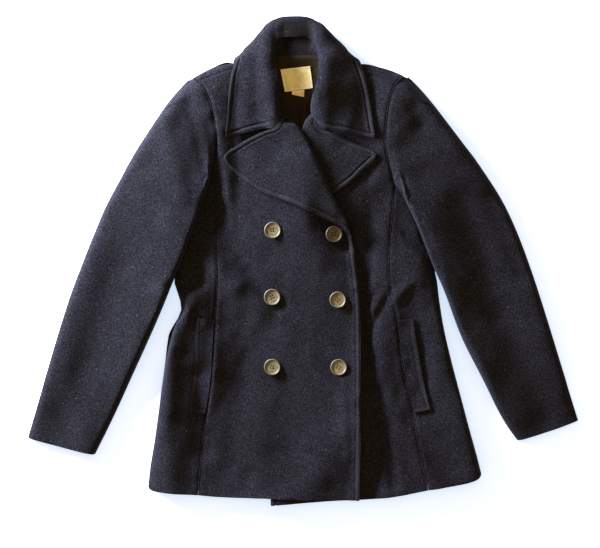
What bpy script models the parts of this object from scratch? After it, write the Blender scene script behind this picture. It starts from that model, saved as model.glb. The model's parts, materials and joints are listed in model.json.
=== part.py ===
"""Pea coat, laid flat on its back with its front closed right over left.

The coat lies on the ground plane: +Z is up, +Y runs from the hem to the collar, and +X is the
wearer's left.  Sizes in the tables are millimetres.  Every cloth piece is a wall of even
thickness: a grid of points over the piece's outline, lifted to the height at which the cloth
lies, and a second skin one cloth thickness away.
"""

import math

import bmesh
import bpy
import numpy as np
from mathutils import Matrix, Vector

# ---------------------------------------------------------------- driving dimensions (mm)
MM = 0.001
CLOTH = 2.5              # melton wool, one layer
DOUBLE = 4.5             # two layers sewn face to face: collar and lapels
STAND = 3.5              # collar stand
WELT = 3.0               # pocket welt
LINING = 1.0
LABEL = 0.8
SEAM = 0.3               # between the pieces that a seam joins
STAND_GAP = 2.4          # the same between stand and collar, which meet at an angle
LAYER = 0.9              # between one layer and the next that lies on it
RIM = 0.7                # under the edge of a panel that is folded down on to the back
LINING_CLEAR = 1.0       # between the back and the lining
LABEL_CLEAR = 0.4        # between the lining and a label
BUTTON_CLEAR = 0.65      # between the cloth and a button on its thread
FRONT_TOP = 14.5         # top of the front over the body's hollow
UNDER_DROP = CLOTH + LAYER + SEAM    # the under front lies this far below the top front
UNDER_DROP_UNTIL = 98.0  # x up to which it does so, and the width over which it rises again
UNDER_DROP_FADE = 33.0
FOLD_RADIUS = 15.0       # round of the cloth at side folds and shoulders
SLEEVE_RADIUS = 13.0     # the same along a sleeve
LAPEL_LIFT = 5.6         # the top front passes over the under lapel
LAPEL_REACH = 102.0      # distance from the lapel's spine at which that ends
LAPEL_FADE = 32.0
ROLL_CLEAR = 1.7         # under the rolled edge of a lapel
LAPEL_BULGE_AT = 22.0    # the top lapel is fullest this far from its roll line
LAPEL_BULGE_REACH = 30.0
NECK_LIFT = 6.6          # the back passes over the collar's hidden fall
NECK_CENTRE = (-9.0, 332.0)
NECK_REACH = (112.0, 72.0)
FRONT_NECK_SHARE = 0.75  # share of that lift which reaches the fronts
SLEEVE_RAMP = 30.0       # width over which a sleeve climbs on to the body's side
SLEEVE_HEAD = 34.0       # length over which a sleeve rises from the armhole seam
BUTTON_HOLE_RADIUS = 1.2
BUTTON_HOLE_SPACING = 2.6
BUTTON_DRILL = 10.0
BUTTON_SIDES = 18
SHADE_ANGLE = 50.0       # edges sharper than this stay sharp (degrees)

# ---------------------------------------------------------------- outlines (x, y), mm
# Side lines, from the hem up to the underarm.
RIGHT_SIDE_LINE = (
    (-247, -362), (-243, -325), (-235, -280), (-228, -225), (-222, -180), (-215, -135),
    (-206, -101), (-197, -80), (-194, -66), (-200, -38), (-208, 0), (-214, 35), (-219, 90),
)
LEFT_SIDE_LINE = (
    (285, -340), (277, -308), (266, -270), (257, -235), (249, -205), (237, -160),
    (227, -120), (220, -80), (214, -40), (213, 0), (215, 40), (216, 89),
)
# Princess seams, from the hem up to the armhole.
RIGHT_PRINCESS = (
    (-166, -374), (-164, -336), (-158, -272), (-150, -224), (-144, -176), (-140, -96),
    (-136, -32), (-139, 48), (-144, 147),
)
LEFT_PRINCESS = (
    (200, -366), (186, -304), (175, -243), (162, -184), (154, -136), (149, -96),
    (138, -32), (137, 0), (140, 48), (146, 117),
)
# Armhole seams of the fronts, from the princess seam up to the shoulder.
RIGHT_ARMHOLE = (
    (-144, 147), (-140, 160), (-136, 179), (-139, 216), (-147, 253), (-158, 275), (-176, 290),
)
LEFT_ARMHOLE = (
    (146, 117), (139, 145), (131, 179), (132, 216), (138, 256), (148, 280), (162, 293),
)
# The lowest part of each armhole, from the princess seam out to the underarm.
RIGHT_UNDERARM = ((-144, 147), (-158, 124), (-176, 106), (-197, 95), (-219, 90))
LEFT_UNDERARM = ((146, 117), (160, 104), (176, 95), (195, 90), (216, 89))
# Armhole seams of the back, from the underarm up to the shoulder.
RIGHT_BACK_ARMHOLE = (
    (-219, 90), (-204, 122), (-191, 156), (-180, 196), (-173, 236), (-171, 268), (-176, 290),
)
LEFT_BACK_ARMHOLE = (
    (216, 89), (200, 122), (187, 156), (175, 196), (165, 236), (160, 268), (162, 293),
)
# Shoulder lines, from the armhole in to the neck; they dip where the collar covers them.
RIGHT_SHOULDER = ((-176, 290), (-164, 296), (-141, 306), (-122, 313.5), (-112, 313),
                  (-103, 311), (-60, 317))
LEFT_SHOULDER = ((162, 293), (148, 299), (124, 306), (102, 311.5), (92, 311), (83, 309.5),
                 (44, 317))
# The back's neck edge, from the wearer's right to left.
BACK_NECK = ((-60, 318), (-48, 322.6), (-34, 324.2), (-12, 324.2), (14, 324.2), (31, 322.6),
             (44, 318))
# Hems.
TOP_FRONT_HEM = ((-166, -374), (-140, -377), (-52, -379), (-4, -381), (90, -382))
RIGHT_SIDE_HEM = ((-247, -362), (-241, -367), (-225, -369), (-196, -372), (-166, -374))
UNDER_FRONT_HEM = ((-51, -390), (-4, -386.5), (60, -383), (116, -380), (156, -375), (200, -366))
LEFT_SIDE_HEM = ((200, -366), (220, -363), (252, -357), (277, -349), (285, -340))
BACK_HEM = ((-247, -362), (-200, -368), (-100, -371), (0, -372), (100, -371), (200, -360),
            (285, -340))
# Front edges with the roll lines above them and the neck edges above those.
TOP_FRONT_EDGE = (
    (90, -382), (91.5, -256), (91.5, -160), (91, -80), (88, -40), (84, -4), (77, 34),
    (68, 66), (55, 89), (44, 108), (29, 147), (13, 179), (-3, 207), (-15, 219), (-29, 228),
    (-42.5, 246), (-48.5, 264), (-53, 288), (-57, 304), (-60, 318),
)
UNDER_FRONT_EDGE = (
    (-51, -390), (-51, -200), (-51, -80), (-50, -20), (-47, 8), (-38, 38), (-24, 100),
    (-12, 160), (-4, 200), (0, 214), (9, 228), (24.5, 248), (32, 268), (37, 290), (41, 305),
    (44, 318),
)
# Sleeves: the outer fold from the shoulder to the cuff, and the inner fold from the armhole.
RIGHT_SLEEVE_OUTER = (
    (-177, 290), (-183.5, 287.5), (-193, 278), (-212, 256), (-246, 206), (-272, 166),
    (-292, 128), (-313, 90), (-345, 13), (-374, -64), (-398, -141), (-420, -218), (-439, -283),
)
RIGHT_SLEEVE_INNER = (
    (-144, 147), (-148, 128), (-156, 96), (-171, 61), (-188, 8), (-208, -38), (-235, -102),
    (-270, -179), (-305, -256), (-332, -310),
)
RIGHT_CUFF = ((-439, -283), (-414, -291), (-388, -298), (-361, -305), (-332, -310))
LEFT_SLEEVE_OUTER = (
    (163, 293), (168.5, 292.5), (176, 286), (188, 273), (204, 255), (236, 213), (284, 149),
    (310, 110), (322, 90), (348, 32), (381, -64), (405, -141), (428, -218), (440, -256),
)
LEFT_SLEEVE_INNER = (
    (146, 117), (156, 107), (167, 85), (188, 40), (208, -14), (224, -45), (253, -122),
    (292, -198), (320, -256), (343, -288),
)
LEFT_CUFF = ((440, -256), (414, -266), (389, -275), (366, -282), (343, -288))
# Lapels: the gorge, notch and upper edge out to the tip; the lower edge from the tip back to
# where the front edge turns over; and the roll line from the gorge down.
RIGHT_LAPEL_UPPER = ((-26, 235.5), (-33.5, 223.5), (-40, 215.5), (-65, 203), (-92, 189),
                     (-114, 175), (-122, 169), (-125.5, 161))
RIGHT_LAPEL_LOWER = ((-125.5, 161), (-121, 151), (-101, 133), (-84, 120), (-65, 108),
                     (-44, 99), (-20, 91), (15, 75), (36, 65), (56, 55), (69, 45), (76, 34))
RIGHT_LAPEL_ROLL = ((-26, 235.5), (-27, 229), (-20, 223), (-11, 219), (-2.5, 208), (13.5, 179),
                    (29.5, 147), (44.5, 108), (55.5, 89), (68.5, 66), (78, 36))
LEFT_LAPEL_UPPER = ((12, 238), (20, 225), (28, 213), (51, 199), (76, 187), (99, 177),
                    (112, 173), (117, 166))
LEFT_LAPEL_LOWER = ((117, 166), (113, 159), (92, 139), (79, 126), (56, 109), (20, 87),
                    (-12, 62), (-30, 40))
LEFT_LAPEL_ROLL = ((12, 238), (4, 231), (0, 221), (-3, 205), (-12, 160), (-24, 100), (-35, 48))
UNDER_LAPEL_SPINE = ((2, 215), (-14, 62))
# Pocket welts: the free outer edge, then the inner edge beside the princess seam, both
# from the top down.
RIGHT_WELT_OUTER = ((-167, -93), (-170.5, -125), (-172, -160), (-175, -200), (-180.5, -240))
RIGHT_WELT_INNER = ((-141.4, -96), (-143.2, -128), (-145.5, -176), (-151, -220), (-156, -245))
LEFT_WELT_OUTER = ((175, -93), (178, -119), (184, -150), (192, -195), (202, -237))
LEFT_WELT_INNER = ((150.5, -97), (155.5, -136), (163.5, -184), (170.5, -220), (176.5, -243))

# ---------------------------------------------------------------- heights
# Soft swells of the body: centre x, centre y, reach in x, reach in y, rise (mm).
SWELLS = (
    (-92, 78, 62, 95, 4.5),      # right chest
    (118, 62, 58, 95, 3.5),      # left chest
    (-130, 246, 45, 55, 3.0),    # right shoulder pad
    (118, 246, 45, 55, 3.0),     # left shoulder pad
    (-110, -300, 80, 90, 1.5),   # skirt of the right front
    (160, -320, 60, 80, 2.0),    # skirt of the left front
    (-215, -290, 30, 70, 2.0),   # right hip
)
# Folds of the body: start x, start y, end x, end y, half width, rise (troughs are negative).
FOLDS = (
    (-146, -246, -88, -150, 17, -3.2),     # drag line from the right pocket
    (-197, -112, -206, -290, 13, -4.2),    # trough down the right side panel
    (-128, 40, -98, -34, 16, -2.4),        # below the right chest
    (-98, -34, -58, -52, 15, -1.8),
    (131, -180, 141, -350, 12, 2.4),       # ridge down the left front
    (206, -30, 154, -72, 10, -3.0),        # crease at the left waist
    (137, -58, 112, -100, 10, -2.0),
    (114, 116, 130, 84, 14, -3.0),         # hollow beside the left lapel
    (150, 72, 168, 34, 14, -3.2),          # hollow below the left armhole
    (236, -170, 252, -300, 12, -2.0),      # trough down the left side panel
)
FOLD_FADE = 0.18         # share of a fold's length over which it fades, each side of its end
# Folds of the sleeves: start and end as (share of the length, share of the width from the
# outer fold), half width, rise.
RIGHT_SLEEVE_FOLDS = (
    (0.06, 0.62, 0.24, 0.42, 13, -5.0),    # hollow below the sleeve head
    (0.22, 0.72, 0.55, 0.60, 15, -3.0),
    (0.34, 0.30, 0.62, 0.34, 13, -2.6),
    (0.60, 0.66, 0.86, 0.52, 12, -2.4),
    (0.72, 0.26, 0.95, 0.30, 11, 1.8),
)
LEFT_SLEEVE_FOLDS = (
    (0.05, 0.60, 0.22, 0.44, 13, -5.0),
    (0.26, 0.16, 0.36, 0.52, 12, -3.2),    # crease at the elbow
    (0.30, 0.70, 0.58, 0.58, 15, -2.8),
    (0.56, 0.36, 0.80, 0.40, 12, -2.4),
    (0.74, 0.70, 0.95, 0.64, 11, 1.8),
)
# Height of a sleeve's tube: share of the length from the shoulder, height (mm).
SLEEVE_LOFT = ((0.0, 20.0), (0.12, 25.0), (0.35, 23.0), (0.6, 19.0), (0.85, 15.5), (1.0, 14.0))

# ---------------------------------------------------------------- where the points of a grid lie
# Rows are shares of the way up a piece and columns are shares of the way across it.
SIDE_STEPS = 15                      # rows along a princess seam
ARMHOLE_STEPS = 10                   # and from there to the shoulder
PRINCESS_SHARE = 0.74                # the princess seam's share of a front's height
SIDE_LINE_SHARE = 0.68               # the side line's share of the back's height
BACK_SIDE_STEPS = 8
TOP_FRONT_COLUMNS = (0, 0.1, 0.2, 0.3, 0.4, 0.5, 0.6, 0.7, 0.8, 0.9, 0.965, 1)
UNDER_FRONT_COLUMNS = (0, 0.15, 0.3, 0.45, 0.58, 0.66, 0.74, 0.82, 0.91, 1)
SHOULDER_SHARES = (0.27, 0.63)       # of the back's top edge: right shoulder, then neck
BACK_COLUMNS = (0, 0.065, 0.13, 0.2, 0.27, 0.36, 0.45, 0.54, 0.63, 0.73, 0.8, 0.87, 0.935, 1)
SHOULDER_ROWS = (0.9905, 0.9975, 1)
FOLD_ANGLES = (0, 17, 38, 62, 90)    # degrees round a folded edge
SIDE_PANEL_WIDTH = 85.0
SIDE_PANEL_COLUMNS = (0.25, 0.5, 0.75, 1)
SLEEVE_ROWS = (0, 0.06, 0.13, 0.2, 0.27, 0.34, 0.41, 0.48, 0.55, 0.62, 0.69, 0.76, 0.82, 0.88,
               0.93, 0.965, 1)
SLEEVE_FOLD_COLUMNS = (0, 0.035, 0.15, 0.46, 1)
SLEEVE_EVEN_FROM = 0.98              # near the armhole a sleeve's columns are even
SLEEVE_EVEN_FADE = 0.1
SLEEVE_COLUMNS = 10
UNDERARM_SHARE = 0.3                 # the part of a sleeve's outer fold above the underarm
CAP_START = 0.03                     # the under sleeve starts just below the shoulder point
LAPEL_ROWS = (0, 0.07, 0.14, 0.22, 0.3, 0.39, 0.48, 0.57, 0.66, 0.74, 0.82, 0.89, 0.95, 1)
LAPEL_COLUMNS = (0, 0.02, 0.07, 0.16, 0.28, 0.42, 0.58, 0.74, 0.87, 0.95, 1)
WELT_COLUMNS = (0, 0.2, 0.5, 0.8, 1)
WELT_STEPS = 9
COLLAR_STEPS = 36
COLLAR_ROWS = (0, 0.07, 0.14, 0.21, 0.28, 0.35, 0.44, 0.55, 0.67, 0.8, 0.92, 1)
COLLAR_FALL_FROM = 0.3               # past this share of a section lies the fall
COLLAR_FRONT_SHARE = 0.26            # each end of the collar over which its fall lies in front
STAND_ENDS = (0.05, 0.95)            # the stand's stretch of the collar

# ---------------------------------------------------------------- collar sections
# One row for each section round the neck, from the right front end over the back to the left
# front end.  Columns: neck seam, inner face, crest, fall, tuck and edge, as (x, y, z).  An
# edge or tuck that lies on the front is lifted to it.
COLLAR = (
    ((-33, 231, 20), (-29, 241, 23), (-38, 225, 28), (-62, 216, 27), (-92, 207, 24), (-122, 199, 0)),
    ((-39, 246, 19), (-35, 246, 27), (-46, 242, 33), (-66, 236, 31), (-95, 227, 26), (-122, 221, 0)),
    ((-45, 264, 19), (-37, 264, 28), (-49, 262, 35), (-70, 259, 33), (-96, 256, 27), (-119, 253, 0)),
    ((-49, 288, 19), (-40, 288, 28), (-52, 288, 35), (-72, 287, 33), (-95, 286, 27), (-115, 285, 0)),
    ((-53, 309, 17), (-44, 312, 27), (-56, 313, 34), (-75, 312, 31), (-94, 311, 26), (-110, 309, 18)),
    ((-53, 321, 14), (-46, 329, 25), (-59, 331, 31), (-77, 329, 28), (-95, 325, 21), (-107, 320, 13)),
    ((-47, 325, 10), (-47, 338, 23), (-60, 341, 28), (-79, 340, 23), (-95, 333, 13), (-101, 322, 3.5)),
    ((-40, 327, 9.6), (-47, 348, 21), (-59, 351, 26), (-75, 352, 20), (-83, 345, 8), (-86, 312, 2.3)),
    ((-31, 326.6, 9.6), (-44, 364, 18), (-54, 369, 21), (-64, 369, 14), (-65, 358, 4), (-60, 310, 2.3)),
    ((-22, 326.6, 9.6), (-34, 372, 16), (-41, 383, 14.5), (-44, 385, 8), (-42, 373, 2.6), (-36, 310, 2.3)),
    ((-12, 326.6, 9.6), (-13, 370, 15), (-14, 384.5, 14), (-14, 387, 7), (-14, 376, 2.4), (-12, 311, 2.3)),
    ((-2, 326.6, 9.6), (6, 372, 16), (12, 382, 14.5), (15, 384, 8), (14, 372, 2.6), (12, 310, 2.3)),
    ((8, 326.6, 9.6), (17, 364, 18), (27, 368, 21), (37, 368, 14), (39, 357, 4), (35, 310, 2.3)),
    ((18, 327, 9.6), (22, 348, 21), (34, 350, 26), (50, 351, 20), (59, 345, 8), (61, 312, 2.3)),
    ((26, 325, 10), (24, 338, 23), (37, 340, 28), (56, 339, 23), (72, 331, 13), (80, 320, 3.5)),
    ((33, 321, 14), (26, 329, 25), (38, 330, 31), (56, 328, 28), (76, 323, 21), (88, 318, 13)),
    ((35, 309, 17), (26, 312, 27), (38, 312, 34), (57, 310, 31), (78, 307, 25), (94, 304, 18)),
    ((32, 288, 19), (23, 288, 28), (35, 287, 34), (56, 285, 31), (81, 282, 25), (102, 278, 0)),
    ((25, 264, 18), (16, 264, 27), (28, 263, 33), (51, 260, 29), (82, 255, 23), (107, 251, 0)),
    ((17, 245, 17), (10, 246, 24), (22, 243, 29), (47, 235, 26), (83, 227, 21), (112, 222, 0)),
    ((12, 232, 16), (12, 240, 19), (23, 225, 23), (45, 213, 21), (80, 205, 18), (114, 199, 0)),
)
STAND_SHARE = 0.6        # the stand's seam lies this far from the neck to the inner face

# ---------------------------------------------------------------- labels and buttons
LINING_CORNERS = ((-56, 317), (40, 317), (34, 196), (-50, 196))
LABEL_CORNERS = ((-35.5, 303.5), (11.5, 309), (16, 274), (-28.5, 268))
TAB_CORNERS = ((-17.5, 268.8), (2.5, 271.4), (2, 260), (-17, 263.6))
# Button centres: x, y.
BUTTONS = (
    (-49, 48), (-49.5, -58), (-49.5, -169.5),
    (48, 42), (54.5, -62), (56, -169.5),
)
# Button profile from the edge of the underside up over the rim and into the dish: radius, height.
BUTTON_PROFILE = ((12.2, 0.0), (14.0, 1.6), (13.7, 3.6), (12.2, 4.6), (10.6, 4.1), (9.3, 2.9))

# ---------------------------------------------------------------- colours and finishes
NAVY = (0.018, 0.020, 0.032)
NAVY_DARK = (0.014, 0.016, 0.026)
LINING_BROWN = (0.030, 0.020, 0.016)
CREAM = (0.70, 0.60, 0.38)
HORN = (0.14, 0.115, 0.085)
WOOL_ROUGHNESS = 0.95
HORN_ROUGHNESS = 0.4


# ---------------------------------------------------------------- curves
def smooth_step(t):
    """Ease from 0 to 1 as t goes from 0 to 1."""
    t = min(max(t, 0.0), 1.0)
    return t * t * (3.0 - 2.0 * t)


def spline_points(points, per_span=12):
    """Dense points of a centripetal Catmull-Rom curve through the given points."""
    pts = np.array(points, dtype=float)
    if len(pts) == 2:
        return np.array([pts[0] + (pts[1] - pts[0]) * i / per_span for i in range(per_span + 1)])
    ends = np.vstack([2 * pts[0] - pts[1], pts, 2 * pts[-1] - pts[-2]])
    dense = []
    for a, b, c, d in zip(ends, ends[1:], ends[2:], ends[3:]):
        t0 = 0.0
        t1 = t0 + math.sqrt(np.linalg.norm(b - a)) + 1e-9
        t2 = t1 + math.sqrt(np.linalg.norm(c - b)) + 1e-9
        t3 = t2 + math.sqrt(np.linalg.norm(d - c)) + 1e-9
        for i in range(per_span):
            t = t1 + (t2 - t1) * i / per_span
            a1 = (t1 - t) / (t1 - t0) * a + (t - t0) / (t1 - t0) * b
            a2 = (t2 - t) / (t2 - t1) * b + (t - t1) / (t2 - t1) * c
            a3 = (t3 - t) / (t3 - t2) * c + (t - t2) / (t3 - t2) * d
            b1 = (t2 - t) / (t2 - t0) * a1 + (t - t0) / (t2 - t0) * a2
            b2 = (t3 - t) / (t3 - t1) * a2 + (t - t1) / (t3 - t1) * a3
            dense.append((t2 - t) / (t2 - t1) * b1 + (t - t1) / (t2 - t1) * b2)
    dense.append(pts[-1])
    return np.array(dense)


def path_length(points):
    """Length of the smooth curve through the points."""
    return float(np.sum(np.linalg.norm(np.diff(spline_points(points), axis=0), axis=1)))


def curve(points, shift=0.0, nearby=0.004):
    """A function of the share of the length along a smooth curve through the points.

    A shift moves the curve to the left of its own direction, read from points nearby.
    """
    dense = spline_points(points)
    steps = np.linalg.norm(np.diff(dense, axis=0), axis=1)
    along = np.concatenate([[0.0], np.cumsum(steps)])
    along /= along[-1]

    def at(t):
        t = min(max(t, 0.0), 1.0)
        place = np.array([np.interp(t, along, dense[:, k]) for k in range(dense.shape[1])])
        if shift:
            ends = (max(t - nearby, 0.0), min(t + nearby, 1.0))
            way = np.array([np.diff(np.interp(ends, along, dense[:, k]))[0] for k in range(2)])
            way /= np.linalg.norm(way)
            place[:2] += shift * np.array([-way[1], way[0]])
        return place
    return at


def chain(first, second, share):
    """Two curves end to end: the first covers the given share of the parameter."""
    def at(t):
        if t <= share:
            return first(t / share)
        return second((t - share) / (1.0 - share))
    return at


def backwards(path):
    """The same curve, run from its end to its start."""
    def at(t):
        return path(1.0 - t)
    return at


def chained_steps(share, first_count, second_count):
    """Even steps on each part of a chained curve."""
    first = [share * i / first_count for i in range(first_count)]
    second = [share + (1 - share) * i / second_count for i in range(second_count + 1)]
    return first + second


def even(count):
    """Even steps from 0 to 1."""
    return [i / count for i in range(count + 1)]


def distance_to(points, x, y):
    """Distance from a place to a run of straight stretches."""
    pts = np.array(points, dtype=float)
    start, way = pts[:-1], np.diff(pts, axis=0)
    here = np.array([x, y])
    share = np.sum((here - start) * way, axis=1) / (np.sum(way * way, axis=1) + 1e-9)
    share = np.clip(share, 0.0, 1.0)[:, None]
    return float(np.min(np.linalg.norm(start + share * way - here, axis=1)))


def inside(points, x, y):
    """Whether a place lies inside a closed outline."""
    hit = False
    for (ax, ay), (bx, by) in zip(points, points[1:] + points[:1]):
        if (ay > y) != (by > y) and x < ax + (bx - ax) * (y - ay) / (by - ay):
            hit = not hit
    return hit


def patch(bottom, right, top, left, across, up):
    """A grid of plan points between four edge curves (a Coons patch).

    bottom and top run with +u, left and right run with +v; across(v) lists the u values of
    the row at v, and up lists the v values.
    """
    corner = (bottom(0.0), bottom(1.0), top(0.0), top(1.0))
    rows = []
    for v in up:
        row = []
        for u in across(v):
            edges = (1 - v) * bottom(u) + v * top(u) + (1 - u) * left(v) + u * right(v)
            corners = ((1 - u) * (1 - v) * corner[0] + u * (1 - v) * corner[1]
                       + (1 - u) * v * corner[2] + u * v * corner[3])
            row.append(edges - corners)
        rows.append(row)
    return rows


# ---------------------------------------------------------------- heights of the cloth
def ridge(x, y, x0, y0, x1, y1, half_width, rise):
    """Height of one soft fold, which fades out at both its ends."""
    way = (x1 - x0, y1 - y0)
    length = math.hypot(*way)
    share = ((x - x0) * way[0] + (y - y0) * way[1]) / length ** 2
    off = abs((x - x0) * way[1] - (y - y0) * way[0]) / length
    fade = smooth_step((share + FOLD_FADE) / (2 * FOLD_FADE))
    fade *= smooth_step((1.0 + FOLD_FADE - share) / (2 * FOLD_FADE))
    return rise * fade * math.exp(-(off / half_width) ** 2)


def neck_lift(x, y):
    """How far the back is raised by the collar's fall folded behind it."""
    reach = math.hypot((x - NECK_CENTRE[0]) / NECK_REACH[0], (y - NECK_CENTRE[1]) / NECK_REACH[1])
    return NECK_LIFT * smooth_step((1.62 - reach) / 0.6)


def front_height(x, y):
    """Top of the front cloth, away from its folded sides."""
    height = FRONT_TOP + FRONT_NECK_SHARE * neck_lift(x, y)
    for cx, cy, reach_x, reach_y, rise in SWELLS:
        height += rise * math.exp(-((x - cx) / reach_x) ** 2 - ((y - cy) / reach_y) ** 2)
    for fold in FOLDS:
        height += ridge(x, y, *fold)
    return height


def rounded(distance, radius=FOLD_RADIUS):
    """Share of the full height at a distance in from a folded edge."""
    t = min(max(distance / radius, 0.0), 1.0)
    return math.sqrt(max(0.0, 1.0 - (1.0 - t) ** 2))


def shoulder_foot(x, y):
    """Top of the back's cloth, with the slack that its raised part needs."""
    return 1.14 * neck_lift(x, y) + CLOTH


def shoulder_round(x, y, full):
    """Bring a height down to the back's edge along the shoulders."""
    low = shoulder_foot(x, y) + RIM
    away = min(distance_to(RIGHT_SHOULDER, x, y), distance_to(LEFT_SHOULDER, x, y))
    return low + (full - low) * rounded(away)


def lapel_lift(x, y):
    """How far the top front is raised by the under lapel beneath it."""
    away = distance_to(UNDER_LAPEL_SPINE, x, y)
    return LAPEL_LIFT * smooth_step((LAPEL_REACH - away) / LAPEL_FADE)


def top_front_height(x, y):
    return shoulder_round(x, y, front_height(x, y) + lapel_lift(x, y))


def under_front_height(x, y):
    drop = UNDER_DROP * (1.0 - smooth_step((x - UNDER_DROP_UNTIL) / UNDER_DROP_FADE))
    return shoulder_round(x, y, front_height(x, y) - drop)


def side_height(side_line):
    """Height of a side panel, which rounds down to the back along its side line."""
    def height(x, y):
        low = CLOTH + RIM
        return low + (front_height(x, y) - low) * rounded(distance_to(side_line, x, y))
    return height


def surface_height(x, y):
    """Top of whichever front shows at a place, for the collar that lies on it."""
    top_edge = TOP_FRONT_HEM[:-1] + TOP_FRONT_EDGE + RIGHT_SHOULDER[::-1] + RIGHT_ARMHOLE[::-1]
    if inside(top_edge + RIGHT_PRINCESS[::-1], x, y):
        return top_front_height(x, y)
    return under_front_height(x, y)


# ---------------------------------------------------------------- solids
def material(name, colour, roughness, metallic=0.0):
    """A Principled material."""
    made = bpy.data.materials.new(name)
    made.use_nodes = True
    shader = made.node_tree.nodes["Principled BSDF"]
    shader.inputs["Base Color"].default_value = (*colour, 1.0)
    shader.inputs["Roughness"].default_value = roughness
    shader.inputs["Metallic"].default_value = metallic
    return made


def add_object(name, bm, colour, roughness):
    """Turn a bmesh in millimetres into a named object in metres."""
    bmesh.ops.triangulate(bm, faces=[f for f in bm.faces if len(f.verts) > 3])
    bmesh.ops.scale(bm, verts=bm.verts, vec=(MM, MM, MM))
    mesh = bpy.data.meshes.new(name)
    bm.to_mesh(mesh)
    bm.free()
    if sum(p.area * p.normal.dot(p.center) for p in mesh.polygons) < 0:
        mesh.flip_normals()
    mesh.shade_smooth()
    mesh.set_sharp_from_angle(angle=math.radians(SHADE_ANGLE))
    placed = bpy.data.objects.new(name, mesh)
    placed.data.materials.append(material(name + "_finish", colour, roughness))
    bpy.context.collection.objects.link(placed)
    return placed


def grid_normals(grid):
    """Unit normals of a grid of points, (rows, columns, 3)."""
    along = np.gradient(grid, axis=0)
    across = np.gradient(grid, axis=1)
    normals = np.cross(across, along)
    return normals / np.linalg.norm(normals, axis=2, keepdims=True)


GRID_EDGES = {
    "bottom": (0, slice(None)), "top": (-1, slice(None)),
    "left": (slice(None), 0), "right": (slice(None), -1),
}


def wall(name, grid, thickness, colour=NAVY, side="below", joined=(), floor=None, plumb=()):
    """A closed wall over one or more grids of points.

    side tells where the second skin goes: below or centred along the normals, or straight up
    or down.
    joined holds further grids of the same piece, whose shared points are welded.  floor gives
    the height that the second skin stays above.  plumb names the edges whose rims stand
    upright, as where a seam joins two panels.
    """
    bm = bmesh.new()
    for points in (grid, *joined):
        points = np.array(points, dtype=float)
        if side in ("up", "down"):
            step = np.array([0, 0, thickness])
            low, high = (points, points + step) if side == "up" else (points - step, points)
        else:
            normals = grid_normals(points)
            normals *= np.sign(np.sum(normals[:, :, 2])) if side == "below" else 1.0
            for edge in plumb:
                normals[GRID_EDGES[edge]] = (0.0, 0.0, 1.0)
            raise_by = thickness / 2 if side == "centred" else 0.0
            high = points + normals * raise_by
            low = points - normals * (thickness - raise_by)
        if floor:
            least = np.array([[floor(p[0], p[1]) + SEAM for p in row] for row in points])
            low[:, :, 2] = np.maximum(low[:, :, 2], least)
        rows, columns = points.shape[:2]
        skins = []
        for skin in (high, low):
            skins.append([[bm.verts.new(skin[r, c]) for c in range(columns)] for r in range(rows)])
        top, under = skins
        for r in range(rows - 1):
            for c in range(columns - 1):
                bm.faces.new((top[r][c], top[r][c + 1], top[r + 1][c + 1], top[r + 1][c]))
                bm.faces.new((under[r][c], under[r + 1][c], under[r + 1][c + 1], under[r][c + 1]))
        rim = ([(0, c) for c in range(columns - 1)] + [(r, columns - 1) for r in range(rows - 1)]
               + [(rows - 1, c) for c in range(columns - 1, 0, -1)]
               + [(r, 0) for r in range(rows - 1, 0, -1)])
        for (r0, c0), (r1, c1) in zip(rim, rim[1:] + rim[:1]):
            bm.faces.new((top[r0][c0], under[r0][c0], under[r1][c1], top[r1][c1]))
    if joined:
        weld(bm)
    return add_object(name, bm, colour, WOOL_ROUGHNESS)


def weld(bm):
    """Join the grids of one piece and drop the rims that end up between them."""
    bmesh.ops.remove_doubles(bm, verts=bm.verts, dist=0.02)
    between = [f for f in bm.faces if sum(len(e.link_faces) > 2 for e in f.edges) > 1]
    bmesh.ops.delete(bm, geom=between, context="FACES_ONLY")


def lifted(plan, height):
    """Raise a grid of plan points to the height of the cloth."""
    return [[(p[0], p[1], height(p[0], p[1])) for p in row] for row in plan]


# ---------------------------------------------------------------- body panels
def make_back():
    """The back: one flat panel from hem to shoulders, raised over the collar's fall."""
    left = chain(curve(RIGHT_SIDE_LINE), curve(RIGHT_BACK_ARMHOLE, -SEAM), SIDE_LINE_SHARE)
    right = chain(curve(LEFT_SIDE_LINE), curve(LEFT_BACK_ARMHOLE, SEAM), SIDE_LINE_SHARE)
    first, rest = SHOULDER_SHARES
    neck_and_left = chain(curve(BACK_NECK), curve(LEFT_SHOULDER[::-1]), rest)
    across_shoulders = chain(curve(RIGHT_SHOULDER), neck_and_left, first)
    plan = patch(curve(BACK_HEM), right, across_shoulders, left, lambda v: BACK_COLUMNS,
                 chained_steps(SIDE_LINE_SHARE, BACK_SIDE_STEPS, ARMHOLE_STEPS))
    wall("back", lifted(plan, neck_lift), CLOTH, side="up")


def make_right_front_centre():
    """The right front from princess seam to front edge, which laps over the left one."""
    left = chain(curve(RIGHT_PRINCESS, -SEAM / 2), curve(RIGHT_ARMHOLE, -SEAM), PRINCESS_SHARE)
    plan = patch(curve(TOP_FRONT_HEM), curve(TOP_FRONT_EDGE), curve(RIGHT_SHOULDER), left,
                 lambda v: TOP_FRONT_COLUMNS, front_rows())
    wall("right_front_centre", lifted(plan, top_front_height), CLOTH, floor=shoulder_foot,
         plumb=("left",))


def make_left_front_centre():
    """The left front, which lies under the right one as far as its own front edge."""
    right = chain(curve(LEFT_PRINCESS, SEAM / 2), curve(LEFT_ARMHOLE, SEAM), PRINCESS_SHARE)
    plan = patch(curve(UNDER_FRONT_HEM), right, curve(LEFT_SHOULDER[::-1]),
                 curve(UNDER_FRONT_EDGE), lambda v: UNDER_FRONT_COLUMNS, front_rows())
    wall("left_front_centre", lifted(plan, under_front_height), CLOTH, colour=NAVY_DARK,
         floor=shoulder_foot, plumb=("right",))


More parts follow.
